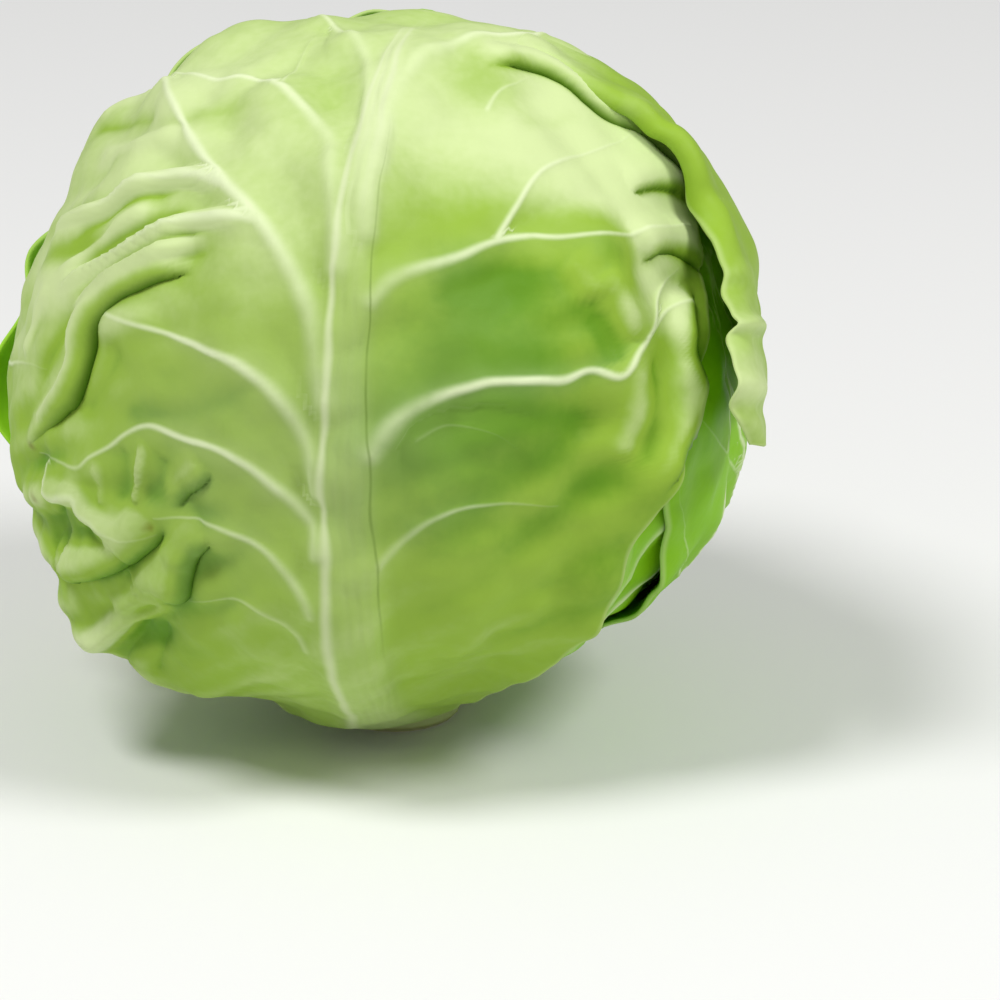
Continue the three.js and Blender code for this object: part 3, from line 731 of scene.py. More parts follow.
# %% [markdown]
# The front leaf's veins are drawn one by one. On the other leaves they follow the plant's rule:
# side veins leave the midrib in turn left and right at about 50 degrees, swing towards the tip,
# thin out, and fork near the margin. Each vein is a chain of points with a width.

# %% Veins of every leaf
# lines on the front elevation, each with its width in millimetres at its start
FRONT_VEINS = [
    ([(-11.5, 22), (-11.5, 29.5), (-13, 44), (-14.5, 54.5), (-18.5, 60), (-26.5, 67), (-34.5, 70),
      (-44, 70), (-52, 71), (-55, 73)], 2.0),
    ([(-15.5, -11), (-18, 8), (-22, 19), (-28, 30), (-35, 38.5), (-42.5, 47), (-49, 56), (-53, 64),
      (-55, 69), (-60, 68)], 2.4),
    ([(-39.6, 43.6), (-44, 45.4), (-49, 46.3), (-53.5, 46), (-62.5, 43.5), (-72, 38.5),
      (-81.5, 34.5)], 1.3),
    ([(-32.2, 35), (-37.5, 35.8), (-42.5, 35.6), (-50.5, 34.5), (-57, 32.5), (-65, 28), (-74, 23),
      (-79, 19)], 1.3),
    ([(-17, -34), (-19, -23), (-24.5, -12), (-31, -5), (-38, 0), (-46, 3.5), (-58, 8), (-70.5, 12)],
     2.0),
    ([(-17, -49), (-19, -41), (-28, -31), (-38, -23), (-52, -18), (-59.5, -16), (-65.5, -18),
      (-72, -22.5), (-77, -25.5), (-86.5, -21)], 1.5),
    ([(-18, -62), (-21, -57), (-28, -48.5), (-37, -43), (-45, -40.5), (-58, -38.5)], 1.3),
    ([(-19, -71), (-26, -63), (-38, -59), (-51, -59.5)], 1.0),
    ([(-94, 1), (-89.5, 0.5), (-85, -1)], 1.0),
    ([(-84, -24), (-81, -31), (-76, -32), (-74, -36), (-70, -39), (-65, -42), (-58, -42)], 1.1),
    ([(-3, 45), (-1, 58), (2, 67.5), (6.5, 74), (13, 77), (21, 80.5), (32, 81), (41, 80.5)], 2.3),
    ([(-5, 14), (2, 20), (8, 22.5), (18, 26), (26.5, 30), (35, 31), (52.5, 31), (64, 32.5),
      (74, 34)], 1.5),
    ([(27, 30.2), (28.8, 34), (32, 39), (36, 45), (40, 49), (47, 52), (54, 54), (58, 55.5),
      (61, 58)], 1.2),
    ([(24.5, 62), (27, 67.5), (32, 71), (36, 73)], 0.9),
    ([(-5, -24), (3, -14), (10, -9.5), (22, -6), (29, -5), (43, -4.5), (50, -2), (58, -3.5),
      (63, 3), (69, 12), (76, 16)], 1.9),
    ([(64.3, 5), (67, 12), (69.5, 20), (73, 24.5)], 1.2),
    ([(6, -20), (15, -16.5), (26, -18), (33, -22)], 0.6),
    ([(-4, -52), (11.5, -39), (25, -36), (36, -36), (43, -36.5)], 1.1),
    ([(-5, 30), (-5, 42), (-5, 58), (-5, 76), (-13, 83), (-22.5, 88.5)], 2.0),
    ([(-26.5, 67), (-24, 72), (-22, 78), (-17, 83)], 0.8),
]
VEIN_SPACING = 1.2
VEIN_TIP = 0.35  # a vein's tip is this share of its width
# the side veins' rule, in degrees on the leaf
SIDE_PAIRS = 6
SIDE_RANGE = (0.16, 0.86)  # shares of the leaf's length between which they leave the midrib
SIDE_UNEVENNESS = 0.2  # of their places, as a share of the step from one to the next
SIDE_ANGLE = 52.0
SIDE_ANGLE_SPREAD = 6.0
SIDE_LENGTH = 60.0
SIDE_SWING = 34.0  # by which a side vein turns towards the tip over its length
SIDE_WOBBLE = 2.5  # for each step
SIDE_STEP = 3.0
SIDE_STEPS = 40
SIDE_MARGIN = 2.0  # a vein stops this far inside the margin
SIDE_WIDTH = 1.5  # millimetres
SIDE_WIDTH_END = 1.15  # share of the leaf's length at which the width would be zero
LEAST_WIDTH = 0.5
FORK_AT = (0.45, 0.7)
FORK_ANGLE = 34.0
FORK_SHARE = 0.6  # a branch is this share as wide
FORK_LEAST = 0.6  # a narrower vein doesn't fork
FORK_WALKED = 20.0  # a branch counts as this much farther on
FRONT_SEED = 40
OTHER_SEED = 50
FACING_AWAY = -0.05


def vein_width(count, width):
    return width * (1 - (1 - VEIN_TIP) * np.linspace(0.0, 1.0, count))


def grown_veins(leaf, seed):
    """Side veins by the plant's rule, as lists of directions with their widths."""
    rng = np.random.default_rng(seed)
    lowest, highest = SIDE_RANGE
    made = []
    for k in range(2 * SIDE_PAIRS):
        side = 1 if k % 2 else -1
        at_rib = (k + rng.uniform(-SIDE_UNEVENNESS, SIDE_UNEVENNESS)) / (2 * SIDE_PAIRS)
        share = lowest + (highest - lowest) * at_rib
        path = leaf.rib_bend * math.sin(math.pi * share) + leaf.rib_sway * share**6
        start = np.array([path / MM_PER_DEGREE, share * leaf.length - leaf.middle])
        angle = SIDE_ANGLE + rng.uniform(-SIDE_ANGLE_SPREAD, SIDE_ANGLE_SPREAD)
        chains = [(start, angle, SIDE_WIDTH * (SIDE_WIDTH_END - share), 0.0)]
        while chains:
            at, angle, width, walked = chains.pop()
            line = [at]
            fork = rng.uniform(*FORK_AT) * SIDE_LENGTH
            while len(line) < SIDE_STEPS:
                heading = math.radians(angle)
                at = at + SIDE_STEP * np.array([side * math.sin(heading), math.cos(heading)])
                swing = SIDE_SWING * SIDE_STEP / SIDE_LENGTH
                angle -= swing + rng.uniform(-SIDE_WOBBLE, SIDE_WOBBLE)
                walked += SIDE_STEP
                reach = math.hypot(*at)
                turn = math.degrees(math.atan2(at[0], -at[1]))
                if reach > leaf.outline_reach(np.array(turn)) - SIDE_MARGIN:
                    break
                line.append(at)
                if fork < walked < fork + SIDE_STEP and width > FORK_LEAST:
                    branch = (at, angle + FORK_ANGLE, FORK_SHARE * width, walked + FORK_WALKED)
                    chains.append(branch)
            if len(line) > 2:
                flat = np.array(line)
                turn = np.degrees(np.arctan2(flat[:, 0], -flat[:, 1]))
                chain = leaf.place(np.hypot(flat[:, 0], flat[:, 1]), turn)
                made.append((chain, max(width, LEAST_WIDTH)))
    return made


def hidden_from_front(line):
    """True for a vein that the drawn ones don't already show."""
    return np.mean(line @ view_back) < FACING_AWAY


def vein_net(index):
    """A wire mesh of all of a leaf's side veins, with their widths in metres."""
    leaf = LEAVES[index]
    if index == FRONT:
        veins = [(drawn_on_leaf(line, FRONT), width) for line, width in FRONT_VEINS]
        veins += [v for v in grown_veins(leaf, FRONT_SEED) if hidden_from_front(v[0])]
    else:
        veins = grown_veins(leaf, OTHER_SEED + index)
    points, edges, widths = [], [], []
    for line, width in veins:
        even = curve_through(line, VEIN_SPACING)[1:]
        first = sum(len(p) for p in points)
        points.append(blade_middle(index, even))
        widths.append(vein_width(len(even), width))
        edges += [(first + k, first + k + 1) for k in range(len(even) - 1)]
    mesh = bpy.data.meshes.new(leaf.name + "_veins")
    mesh.from_pydata((np.concatenate(points) * MM).tolist(), edges, [])
    width_values = mesh.attributes.new("width", "FLOAT", "POINT").data
    width_values.foreach_set("value", np.concatenate(widths) * MM)
    wires = bpy.data.objects.new(mesh.name, mesh)
    bpy.context.scene.collection.objects.link(wires)
    return wires


print("drawn veins:", len(FRONT_VEINS))

# %% [markdown]
# Raising the veins follows a surface, so Geometry Nodes do it. For every point of a leaf the tree
# finds the nearest place on the vein wires. It keeps the way there as an attribute, which the
# material later turns into crisp pale lines, and it lifts the outer face: a low wide tent, which
# is the blade pulled up by the vein, with the vein's own narrow ridge on top.

# %% Geometry Nodes: raise veins on a leaf
class Tree:
    """Small helper that adds nodes to a tree and links their sockets."""

    def __init__(self, tree):
        self.tree = tree

    def node(self, kind, settings=None, values=None):
        made = self.tree.nodes.new(kind)
        for key, value in (settings or {}).items():
            setattr(made, key, value)
        for key, value in (values or {}).items():
            socket = made.inputs[key]
            if isinstance(value, bpy.types.NodeSocket):
                self.tree.links.new(value, socket)
            else:
                socket.default_value = value
        return made

    def math(self, operation, *values):
        sockets = dict(enumerate(values))
        return self.node("ShaderNodeMath", {"operation": operation}, sockets).outputs[0]

    def vector(self, operation, *values):
        sockets = dict(enumerate(values))
        return self.node("ShaderNodeVectorMath", {"operation": operation}, sockets)


def raise_veins_tree():
    """The tree: find the nearest vein, keep the way there, lift the outer face, add the finish."""
    group = bpy.data.node_groups.new("raise_veins", "GeometryNodeTree")
    face = group.interface
    for name, kind in (("Leaf", "Geometry"), ("Veins", "Object"), ("Ridge height", "Float"),
                       ("Tent height", "Float"), ("Tent width", "Float"), ("Finish", "Material")):
        face.new_socket(name, in_out="INPUT", socket_type="NodeSocket" + kind)
    face.new_socket("Leaf", in_out="OUTPUT", socket_type="NodeSocketGeometry")
    t = Tree(group)
    given = t.node("NodeGroupInput").outputs
    wires = t.node("GeometryNodeObjectInfo", values={"Object": given["Veins"]}).outputs["Geometry"]
    position = t.node("GeometryNodeInputPosition").outputs[0]
    normal = t.node("GeometryNodeInputNormal").outputs[0]
    near = t.node("GeometryNodeProximity", {"target_element": "EDGES"}, {0: wires})
    away = t.vector("SUBTRACT", near.outputs["Position"], position).outputs["Vector"]
    depth = t.vector("DOT_PRODUCT", away, normal).outputs["Value"]
    sunk = t.vector("SCALE", normal)
    t.tree.links.new(depth, sunk.inputs["Scale"])
    flat = t.vector("SUBTRACT", away, sunk.outputs["Vector"]).outputs["Vector"]
    width = t.node("GeometryNodeInputNamedAttribute", {"data_type": "FLOAT"}, {"Name": "width"})
    nearest = t.node("GeometryNodeSampleNearest", {"domain": "POINT"}, {"Geometry": wires})
    sample = t.node("GeometryNodeSampleIndex", {"data_type": "FLOAT", "domain": "POINT"},
                    {"Geometry": wires, "Value": width.outputs["Attribute"],
                     "Index": nearest.outputs[0]})
    wide = sample.outputs["Value"]
    outer = t.node("GeometryNodeInputNamedAttribute", {"data_type": "FLOAT"}, {"Name": "outer"})
    length = t.vector("LENGTH", flat).outputs["Value"]

    def hump(reach, height):
        share = t.math("DIVIDE", length, reach)
        curve = t.math("EXPONENT", t.math("MULTIPLY", t.math("MULTIPLY", share, share), -1.0))
        return t.math("MULTIPLY", curve, height)

    strength = t.math("MINIMUM", t.math("DIVIDE", wide, FULL_VEIN * MM), 1.0)
    ridge = t.math("MULTIPLY", hump(wide, given["Ridge height"]), strength)
    tent = t.math("MULTIPLY", hump(given["Tent width"], given["Tent height"]), strength)
    lift = t.math("MULTIPLY", t.math("ADD", ridge, tent), outer.outputs["Attribute"])
    offset = t.vector("SCALE", normal)
    t.tree.links.new(lift, offset.inputs["Scale"])
    kept = given["Leaf"]
    for name, kind, value in (("to_vein", "FLOAT_VECTOR", flat), ("vein_width", "FLOAT", wide),
                              ("vein_distance", "FLOAT", length)):
        kept = t.node("GeometryNodeStoreNamedAttribute", {"data_type": kind, "domain": "POINT"},
                      {"Geometry": kept, "Name": name, "Value": value}).outputs[0]
    moved = t.node("GeometryNodeSetPosition", values={"Geometry": kept,
                                                      "Offset": offset.outputs["Vector"]})
    real = t.node("GeometryNodeRealizeInstances", values={"Geometry": moved.outputs[0]})
    done = t.node("GeometryNodeSetMaterial", values={"Geometry": real.outputs[0],
                                                     "Material": given["Finish"]})
    t.node("NodeGroupOutput", values={0: done.outputs[0]})
    return group


RIDGE_HEIGHT = 0.7
TENT_HEIGHT = 1.45
TENT_WIDTH = 6.5
FULL_VEIN = 1.5  # a vein of this width or more is raised in full
raise_veins = raise_veins_tree()
print("raise_veins has", len(raise_veins.nodes), "nodes")

# %% [markdown]
# A tree is put on an object as a modifier for a moment, and what comes out is kept as a plain
# mesh, so no modifier is left on any piece.

# %% Run a tree on an object
def run_tree(target, tree, **values):
    """Puts a node tree on an object and bakes its result into a plain mesh."""
    modifier = target.modifiers.new(tree.name, "NODES")
    modifier.node_group = tree
    sockets = {s.name: s for s in tree.interface.items_tree if s.in_out == "INPUT"}
    for name, value in values.items():
        modifier[sockets[name.replace("_", " ")].identifier] = value
    bpy.context.view_layer.update()
    depsgraph = bpy.context.evaluated_depsgraph_get()
    result = bpy.data.meshes.new_from_object(target.evaluated_get(depsgraph),
                                             preserve_all_data_layers=True, depsgraph=depsgraph)
    target.modifiers.remove(modifier)
    old, target.data = target.data, result
    result.name = target.name
    bpy.data.meshes.remove(old)


# %% [markdown]
# Materials are written as sums. This small class wraps a socket, so that adding, multiplying or
# mixing in Python lays down the Math nodes.

# %% Shader maths as expressions
class Value:
    """A socket of a material's tree, with the operators that the recipes use."""

    def __init__(self, tree, socket):
        self.tree = tree
        self.socket = socket

    def _math(self, operation, *others, swapped=False):
        values = [self, *others][::-1] if swapped else [self, *others]
        return self.make("ShaderNodeMath", {"operation": operation}, dict(enumerate(values)))

    def __add__(self, other):
        return self._math("ADD", other)

    def __sub__(self, other):
        return self._math("SUBTRACT", other)

    def __rsub__(self, other):
        return self._math("SUBTRACT", other, swapped=True)

    def __mul__(self, other):
        return self._math("MULTIPLY", other)

    def __truediv__(self, other):
        return self._math("DIVIDE", other)

    __radd__ = __add__
    __rmul__ = __mul__

    def __pow__(self, other):
        return self._math("POWER", other)

    def sine(self):
        return self._math("SINE")

    def make(self, kind, settings=None, values=None, output=0):
        """Any other node, by its type, its settings and the values of its sockets."""
        node = self.tree.nodes.new(kind)
        for key, value in (settings or {}).items():
            setattr(node, key, value)
        for key, value in (values or {}).items():
            if isinstance(value, Value):
                self.tree.links.new(value.socket, node.inputs[key])
            else:
                node.inputs[key].default_value = value
        return Value(self.tree, node.outputs[output])

    def ramp(self, low, high, start=0.0, end=1.0):
        """Smoothly from start, at low and below, to end, at high and above."""
        return self.make("ShaderNodeMapRange", {"interpolation_type": "SMOOTHSTEP"},
                         {"Value": self, "From Min": low, "From Max": high,
                          "To Min": start, "To Max": end})

    def noise(self, scale, detail=3.0, roughness=0.5):
        """Noise on this vector, from 0 to 1."""
        return self.make("ShaderNodeTexNoise", None,
                         {"Vector": self, "Scale": scale, "Detail": detail, "Roughness": roughness})

    def cracks(self, scale):
        """Distance to the nearest border of a cell pattern on this vector."""
        return self.make("ShaderNodeTexVoronoi", {"feature": "DISTANCE_TO_EDGE"},
                         {"Vector": self, "Scale": scale})

    def tint(self, first, second):
        """A colour from first, where this is 0, to second, where it is 1."""
        return self.make("ShaderNodeMix", {"data_type": "RGBA"},
                         {0: self, 6: first, 7: second}, output=2)


def strand(distance, half_width):
    """1 on a line, falling smoothly to 0 at half_width from it."""
    away = distance.make("ShaderNodeMath", {"operation": "ABSOLUTE"}, {0: distance})
    return away.ramp(0.0, half_width, 1.0, 0.0)


class Finish:
    """A material with one Principled shader, its attributes and its Object coordinates."""

    def __init__(self, name):
        self.material = bpy.data.materials.new(name)
        self.material.use_nodes = True
        self.tree = self.material.node_tree
        self.shader = self.tree.nodes["Principled BSDF"]
        self.start = Value(self.tree, None)
        self.place = self.start.make("ShaderNodeTexCoord", output=3)

    def attribute(self, name, vector=False):
        output = 1 if vector else 2
        return self.start.make("ShaderNodeAttribute", {"attribute_name": name}, output=output)

    def constants(self, **values):
        for name, value in values.items():
            self.shader.inputs[name.replace("_", " ")].default_value = value

    def feed(self, **values):
        for name, value in values.items():
            self.tree.links.new(value.socket, self.shader.inputs[name.replace("_", " ")])

    def bump(self, height, distance, strength=1.0):
        made = height.make("ShaderNodeBump", None,
                           {"Height": height, "Distance": distance, "Strength": strength})
        self.feed(Normal=made)


def srgb(red, green, blue):
    """Scene colour of a tint given in ordinary 0 to 255 numbers."""
    tint = [((c / 255 + 0.055) / 1.055) ** 2.4 if c > 10 else c / 3294 for c in (red, green, blue)]
    return (*tint, 1.0)


print("a fresh green:", [round(c, 3) for c in srgb(166, 205, 95)])

# %% [markdown]
# A cabbage leaf is pale along its midrib and veins, where there is hardly any leaf green, and
# full green in the blade between them. A pale halo lies along each vein, a thin wax film greys
# the blade, and its cut or torn margin is whitish. Light and shade are painted over this too: the
# greens deepen with a shade field that holds painted light and shade as well as the leaf's own
# tone, the fold grooves and a line along the midrib's right edge are painted dark as shadow, and
# a bright green is painted where light comes through a thin margin. The recipe is the same for
# every leaf, with other greens for the sheltered ones.

# %% Leaf finish
PALE_RIB = srgb(218, 228, 184)
PALE_VEIN = srgb(224, 236, 190)
WAX = srgb(158, 178, 108)
BRUISE = srgb(112, 104, 26)
MARGIN = srgb(206, 222, 158)
# painted shadow: a dark line along the midrib's right edge
RIB_EDGE_SHADOW = srgb(96, 122, 40)
# painted shadow: the dark green of the grooves under the folds
GROOVE_SHADOW_GREEN = srgb(62, 104, 6)
# painted light: the bright green of light coming through a thin margin
GLOW = srgb(164, 228, 20)
NET_STEP = 0.0017  # metres between the points of the widest net
UNSURE_SHARE = 0.6  # of a step: so near to a vein, the distance between the net's points is unsure
HALO_REACH = 0.008  # metres
# scale, detail and roughness of the noises
BROAD_GRAIN = (16.0, 2.0)
MOTTLE_GRAIN = (70.0, 3.0, 0.6)
FINE_GRAIN = (320.0, 1.0, 0.6)
# middle and half width of the pale strands and of the painted shadow line, in widths of the midrib
LEFT_STRAND = (-0.68, 0.26)
RIGHT_STRAND = (0.5, 0.4)
RIB_SHADOW_LINE = (0.96, 0.09)
MARGIN_WIDTH = 1.8  # millimetres
ROUGHNESS = (0.46, 0.16)  # the least, and what the mottle adds
SHEEN = 0.17
VEIN_IN_FULL = 0.0014  # metres of width
VEIN_EDGE = 1.3  # how far the pale line reaches, as a share of the vein's width
VEIN_PALENESS = 0.7
BLUR_WIDTH = 42.0  # millimetres beside the midrib in which veins are softer
STRAND_TURN = 2.4  # radians for each millimetre across the midrib
BUMP_DEPTH = 0.0005  # metres


def leaf_finish(name, light, full, deep):
    """A leaf's material: three greens by the shade, and what lies over them."""
    f = Finish(name)
    p = f.place
    broad = p.noise(*BROAD_GRAIN)
    mottle = p.noise(*MOTTLE_GRAIN)
    grit = p.noise(*FINE_GRAIN)
    # the shade deepens the green and holds painted light and shade as well as the leaf's own tone
    shade = f.attribute("shade")
    fine = shade + (grit - 0.5) * 0.2
    green = (fine + (broad - 0.5) * 0.35).ramp(0.0, 1.0).tint(light, full)
    green = (fine + (broad + mottle - 1) * 0.3).ramp(1.0, 2.0).tint(green, deep)
    green = (f.attribute("bloom") * (0.7 + mottle * 0.6)).tint(green, WAX)
    away = f.attribute("to_vein", vector=True)
    length = away.make("ShaderNodeVectorMath", {"operation": "LENGTH"}, {0: away}, output=1)
    far = f.attribute("vein_distance") - NET_STEP * UNSURE_SHARE
    length = length.make("ShaderNodeMath", {"operation": "MAXIMUM"}, {0: length, 1: far})
    width = f.attribute("vein_width")
    ratio = length / width
    strength = width.ramp(0.0, VEIN_IN_FULL)
    across = f.attribute("rib_across")
    blurred = strand(across, BLUR_WIDTH) * 0.75
    crisp = (1 - blurred) * (0.65 + mottle * 0.7)
    core = (1 - (ratio / (1 + blurred)).ramp(0.0, VEIN_EDGE)) * crisp * strength
    halo = (1 - length.ramp(0.0, HALO_REACH)) * strength
    vein = core * VEIN_PALENESS + halo * (0.1 + mottle * 0.15)
    green = vein.ramp(0.0, 1.0).tint(green, PALE_VEIN)
    rib = f.attribute("rib_mask")
    strands = ((across * STRAND_TURN + mottle * 1.5).sine() * 0.5 + 0.5) * mottle
    rib_green = (strands * 0.5).tint(PALE_RIB, light)
    green = (rib * f.attribute("rib_pale")).tint(green, rib_green)
    beside = f.attribute("rib_ratio")
    left = strand(beside - LEFT_STRAND[0], LEFT_STRAND[1])
    right = strand(beside - RIGHT_STRAND[0], RIGHT_STRAND[1]) * f.attribute("rib_top")
    green = ((left + right) * f.attribute("rib_ends") * 0.6).tint(green, PALE_RIB)
    # painted shadow along the midrib's right edge
    edge_shadow = strand(beside - RIB_SHADOW_LINE[0], RIB_SHADOW_LINE[1]) * f.attribute("rib_crease")
    green = (edge_shadow * mottle * 0.8).tint(green, RIB_EDGE_SHADOW)
    edge = f.attribute("edge")
    green = ((1 - edge.ramp(0.0, MARGIN_WIDTH)) * 0.35).tint(green, MARGIN)
    green = f.attribute("bruise").tint(green, BRUISE)
    # painted shadow in the grooves under the folds
    green = (f.attribute("groove") * 0.85).tint(green, GROOVE_SHADOW_GREEN)
    # painted light coming through the back left leaf's margin
    green = (f.attribute("glow") * 0.85).tint(green, GLOW)
    f.feed(Base_Color=green, Roughness=ROUGHNESS[0] + mottle * ROUGHNESS[1])
    relief = core * 0.5 + mottle * 0.3 + grit * 0.3 + strands * rib * 0.5
    f.bump(relief, BUMP_DEPTH, 0.7)
    f.constants(Specular_IOR_Level=SHEEN)
    return f.material


outer_leaf_finish = leaf_finish("outer_leaf_green", srgb(208, 225, 162), srgb(146, 182, 54),
                                srgb(90, 142, 0))
inner_leaf_finish = leaf_finish("inner_leaf_green", srgb(172, 216, 60), srgb(132, 192, 12),
                                srgb(90, 150, 0))
print("leaf finishes:", outer_leaf_finish.name, "and", inner_leaf_finish.name)

# %% [markdown]
# Now the leaves themselves. Each one gets the attributes that its finish reads: how deep its
# green is, with painted light and shade in it, where shadow is painted along the grooves and the
# midrib, where light through the margin is painted, how near the midrib and the margin a point
# is, and where it is bruised.

# %% Make the wrapper leaves
FRONT_NET = 220  # cells along either side of a leaf's net
OTHER_NET = 84
FINER_LEFT = 0.13  # the front leaf has most of its folds on the left
# place on the front elevation and radius, in millimetres
BRUISES = [((-88, -19.5), 1.2), ((-84.5, -31.5), 1.2), ((-59, -40.3), 1.0)]
# middle of the place (polar, azimuth), its spread in degrees, and what it adds to the shade; the
# spots hold painted light and shade as well as the leaf's tone: darker where shadow falls, as
# under the lobe, paler where light falls
SHADES = [
    ((98.0, 14.0), 22.0, 0.6),
    ((119.0, 17.0), 15.0, 0.6),
    ((70.0, 45.0), 36.0, 0.5),
    ((143.0, 52.0), 24.0, -0.9),
    ((160.0, -20.0), 36.0, -0.25),
    ((130.0, -60.0), 30.0, -0.5),
    ((97.0, -18.0), 24.0, 0.4),
    ((74.0, -58.0), 20.0, -0.1),
    ((112.0, -62.0), 26.0, -0.15),
    ((105.0, -72.0), 20.0, -0.35),
    ((92.0, 66.0), 16.0, 0.5),
    ((120.0, 63.0), 12.0, 0.2),
    ((128.0, 63.0), 10.0, -0.4),
    ((140.0, -10.0), 30.0, 0.1),
    ((101.0, -49.0), 24.0, 0.35),
    ((60.0, -45.0), 12.0, 0.7),
    ((78.0, -34.0), 12.0, 0.6),
    ((123.0, -19.0), 10.0, -0.25),
    ((97.0, 7.0), 13.0, 0.45),
    ((121.0, 42.0), 6.0, 1.1),
    ((116.0, 56.0), 7.0, -0.4),
    ((115.0, -75.0), 14.0, 0.35),
    ((77.0, -80.0), 12.0, 0.45),
    ((83.0, -62.0), 8.0, 0.5),
    ((71.0, -57.0), 8.0, 0.3),
    ((142.0, -77.0), 12.0, -0.2),
    ((156.0, 41.0), 8.0, 0.7),
    ((156.0, -25.0), 9.0, 0.3),
    ((127.0, -51.0), 12.0, 0.35),
    ((125.0, 25.0), 14.0, 0.3),
    ((95.0, -64.0), 14.0, 0.25),
]
BASE_SHADE = 0.7
RIDGE_SHADE = 0.44  # for each millimetre of height
BLOOM_MIDDLE = (98.0, -18.0)
BLOOM_SPREAD = 30.0
# where beside a fold's line a painted groove shadow lies, and its half width, in millimetres
GROOVE_SHADOW_PAINT = (0.1, 0.8)
GROOVE_SHADE = (0.9, 2.2)
GLOW_TURN = 88.0
GLOW_SPREAD = 34.0
GLOW_DEPTH = 16.0
BRUISE_STRENGTH = 0.7
SPECKLE_SIZE = 3.0
SPECKLE_SEED = 9
# painted shade: the green deepens beside a fold's line
GROOVE_SHADING = 1.2  # added to the shade beside a fold's line
RELIEF_LIMIT = 1.6  # millimetres of height beyond which the shade stays
BLOOM = (0.04, 0.5)  # everywhere, and added at its middle
RIB_FADE_IN = (4.0, 12.0)  # polar angle
RIB_FADE_OUT = (0.8, 1.0)  # share of the leaf's length
RIB_TOP = (0.6, 0.9)
RIB_PALENESS = 0.14
RIB_PALER_TIP = (0.6, 0.6, 0.95)  # how much paler, and between which shares of the leaf's length
RIB_PALER_FOOT = (0.3, 0.0, 0.3)
RIB_SHADOW_SPAN = ((0.26, 0.4), (0.62, 0.8))  # where the painted shadow beside the midrib starts and ends


# the shade field: the depth of the leaf's green together with painted light and shade
def shade_of(n):
    shade = np.full(len(n), BASE_SHADE)
    for (polar, azimuth), spread, amount in SHADES:
        shade += amount * spot(n, polar, azimuth, spread)
    return shade


def groove_shadow_of(n, shift, width):
    """1 near the grooves of the folds, where shadow is painted in a deeper green."""
    groove = np.zeros(len(n))
    for line, *_ in fold_lines:
        _, distance, share, fade = line.nearest(n)
        groove = np.maximum(groove, fold_strength(share, fade) * bell((distance - shift) / width))
    return groove


def bruise_of(n):
    places = drawn_on_leaf([place for place, _ in BRUISES], FRONT)
    sizes = np.array([size for _, size in BRUISES])
    away = np.arccos(np.clip(n @ places.T, -1.0, 1.0)) * HEAD_RADIUS
    speckle = 0.7 + 0.3 * np.clip(soft_noise(n * HEAD_RADIUS, SPECKLE_SIZE, SPECKLE_SEED), -1, 1)
    return BRUISE_STRENGTH * np.max(bell(away / sizes), axis=1) * speckle


def relief_shade(n):
    """Ridges paler, partly from stretching, valleys and grooves greener: painted light and shade.
    """
    relief = (fold_shift(n)[0] + wrinkles(n)) * freedom(FRONT, n)
    relief = np.clip(relief, -RELIEF_LIMIT, RELIEF_LIMIT)
    return GROOVE_SHADING * groove_shadow_of(n, *GROOVE_SHADE) - RIDGE_SHADE * relief


def bloom_of(n):
    """Where the wax film is thickest."""
    return BLOOM[0] + BLOOM[1] * spot(n, *BLOOM_MIDDLE, BLOOM_SPREAD)


def glow_of(leaf, n):
    """Where light coming through a leaf's free margin is painted on."""
    turn = leaf.chart(n)[1]
    return bell((turn - GLOW_TURN) / GLOW_SPREAD) * (1 - smooth(leaf.inside(n), 0.0, GLOW_DEPTH))


def leaf_attributes(index, n):
    leaf = LEAVES[index]
    share, across = leaf.rib_place(n)
    width = leaf.rib_width(share)
    ends = smooth(polar_of(n), *RIB_FADE_IN) * (1 - smooth(share, *RIB_FADE_OUT))
    shadow_start, shadow_end = RIB_SHADOW_SPAN
    shadow_span = smooth(share, *shadow_start) * (1 - smooth(share, *shadow_end))
    tip, *tip_range = RIB_PALER_TIP
    foot, *foot_range = RIB_PALER_FOOT
    paler = tip * smooth(share, *tip_range) + foot * (1 - smooth(share, *foot_range))
    zero = np.zeros(len(n))
    return {
        "shade": shade_of(n) + (relief_shade(n) if index == FRONT else zero),
        # painted shadow along the fold grooves
        "groove": groove_shadow_of(n, *GROOVE_SHADOW_PAINT) if index == FRONT else zero,
        "rib_mask": ends * np.exp(-((across / width) ** 4)),
        "rib_across": across,
        "rib_ratio": across / width,
        "rib_ends": ends,
        "rib_top": smooth(share, *RIB_TOP),
        "rib_crease": shadow_span * (index == FRONT),
        "rib_pale": RIB_PALENESS + paler,
        "bloom": bloom_of(n) if index == FRONT else zero,
        "edge": leaf.inside(n) * MM_PER_DEGREE,
        "bruise": bruise_of(n) if index == FRONT else zero,
        "glow": glow_of(leaf, n) if index == BACK_LEFT else zero,
    }


def make_leaf(index, finish):
    leaf = LEAVES[index]
    size = FRONT_NET if index == FRONT else OTHER_NET
    n = net_directions(leaf, size, size, FINER_LEFT if index == FRONT else 0.0)
    if index == FRONT:
        n = crowd(n)
    piece = sheet_object(leaf.name + "_blade", blade_middle(index, n), blade_thickness(n),
                         leaf.rib_profile(n), size, size, leaf_attributes(index, n))
    wires = vein_net(index)
    run_tree(piece, raise_veins, Veins=wires, Ridge_height=RIDGE_HEIGHT * MM,
             Tent_height=TENT_HEIGHT * MM, Tent_width=TENT_WIDTH * MM, Finish=finish)
    bpy.data.objects.remove(wires)
    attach(piece, "root")
    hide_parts(leaf.name)
    print(piece.name, len(piece.data.polygons), "faces")


for index in range(FRONT):
    make_leaf(index, inner_leaf_finish)
for index in (FRONT, BACK_LEFT):
    make_leaf(index, outer_leaf_finish)

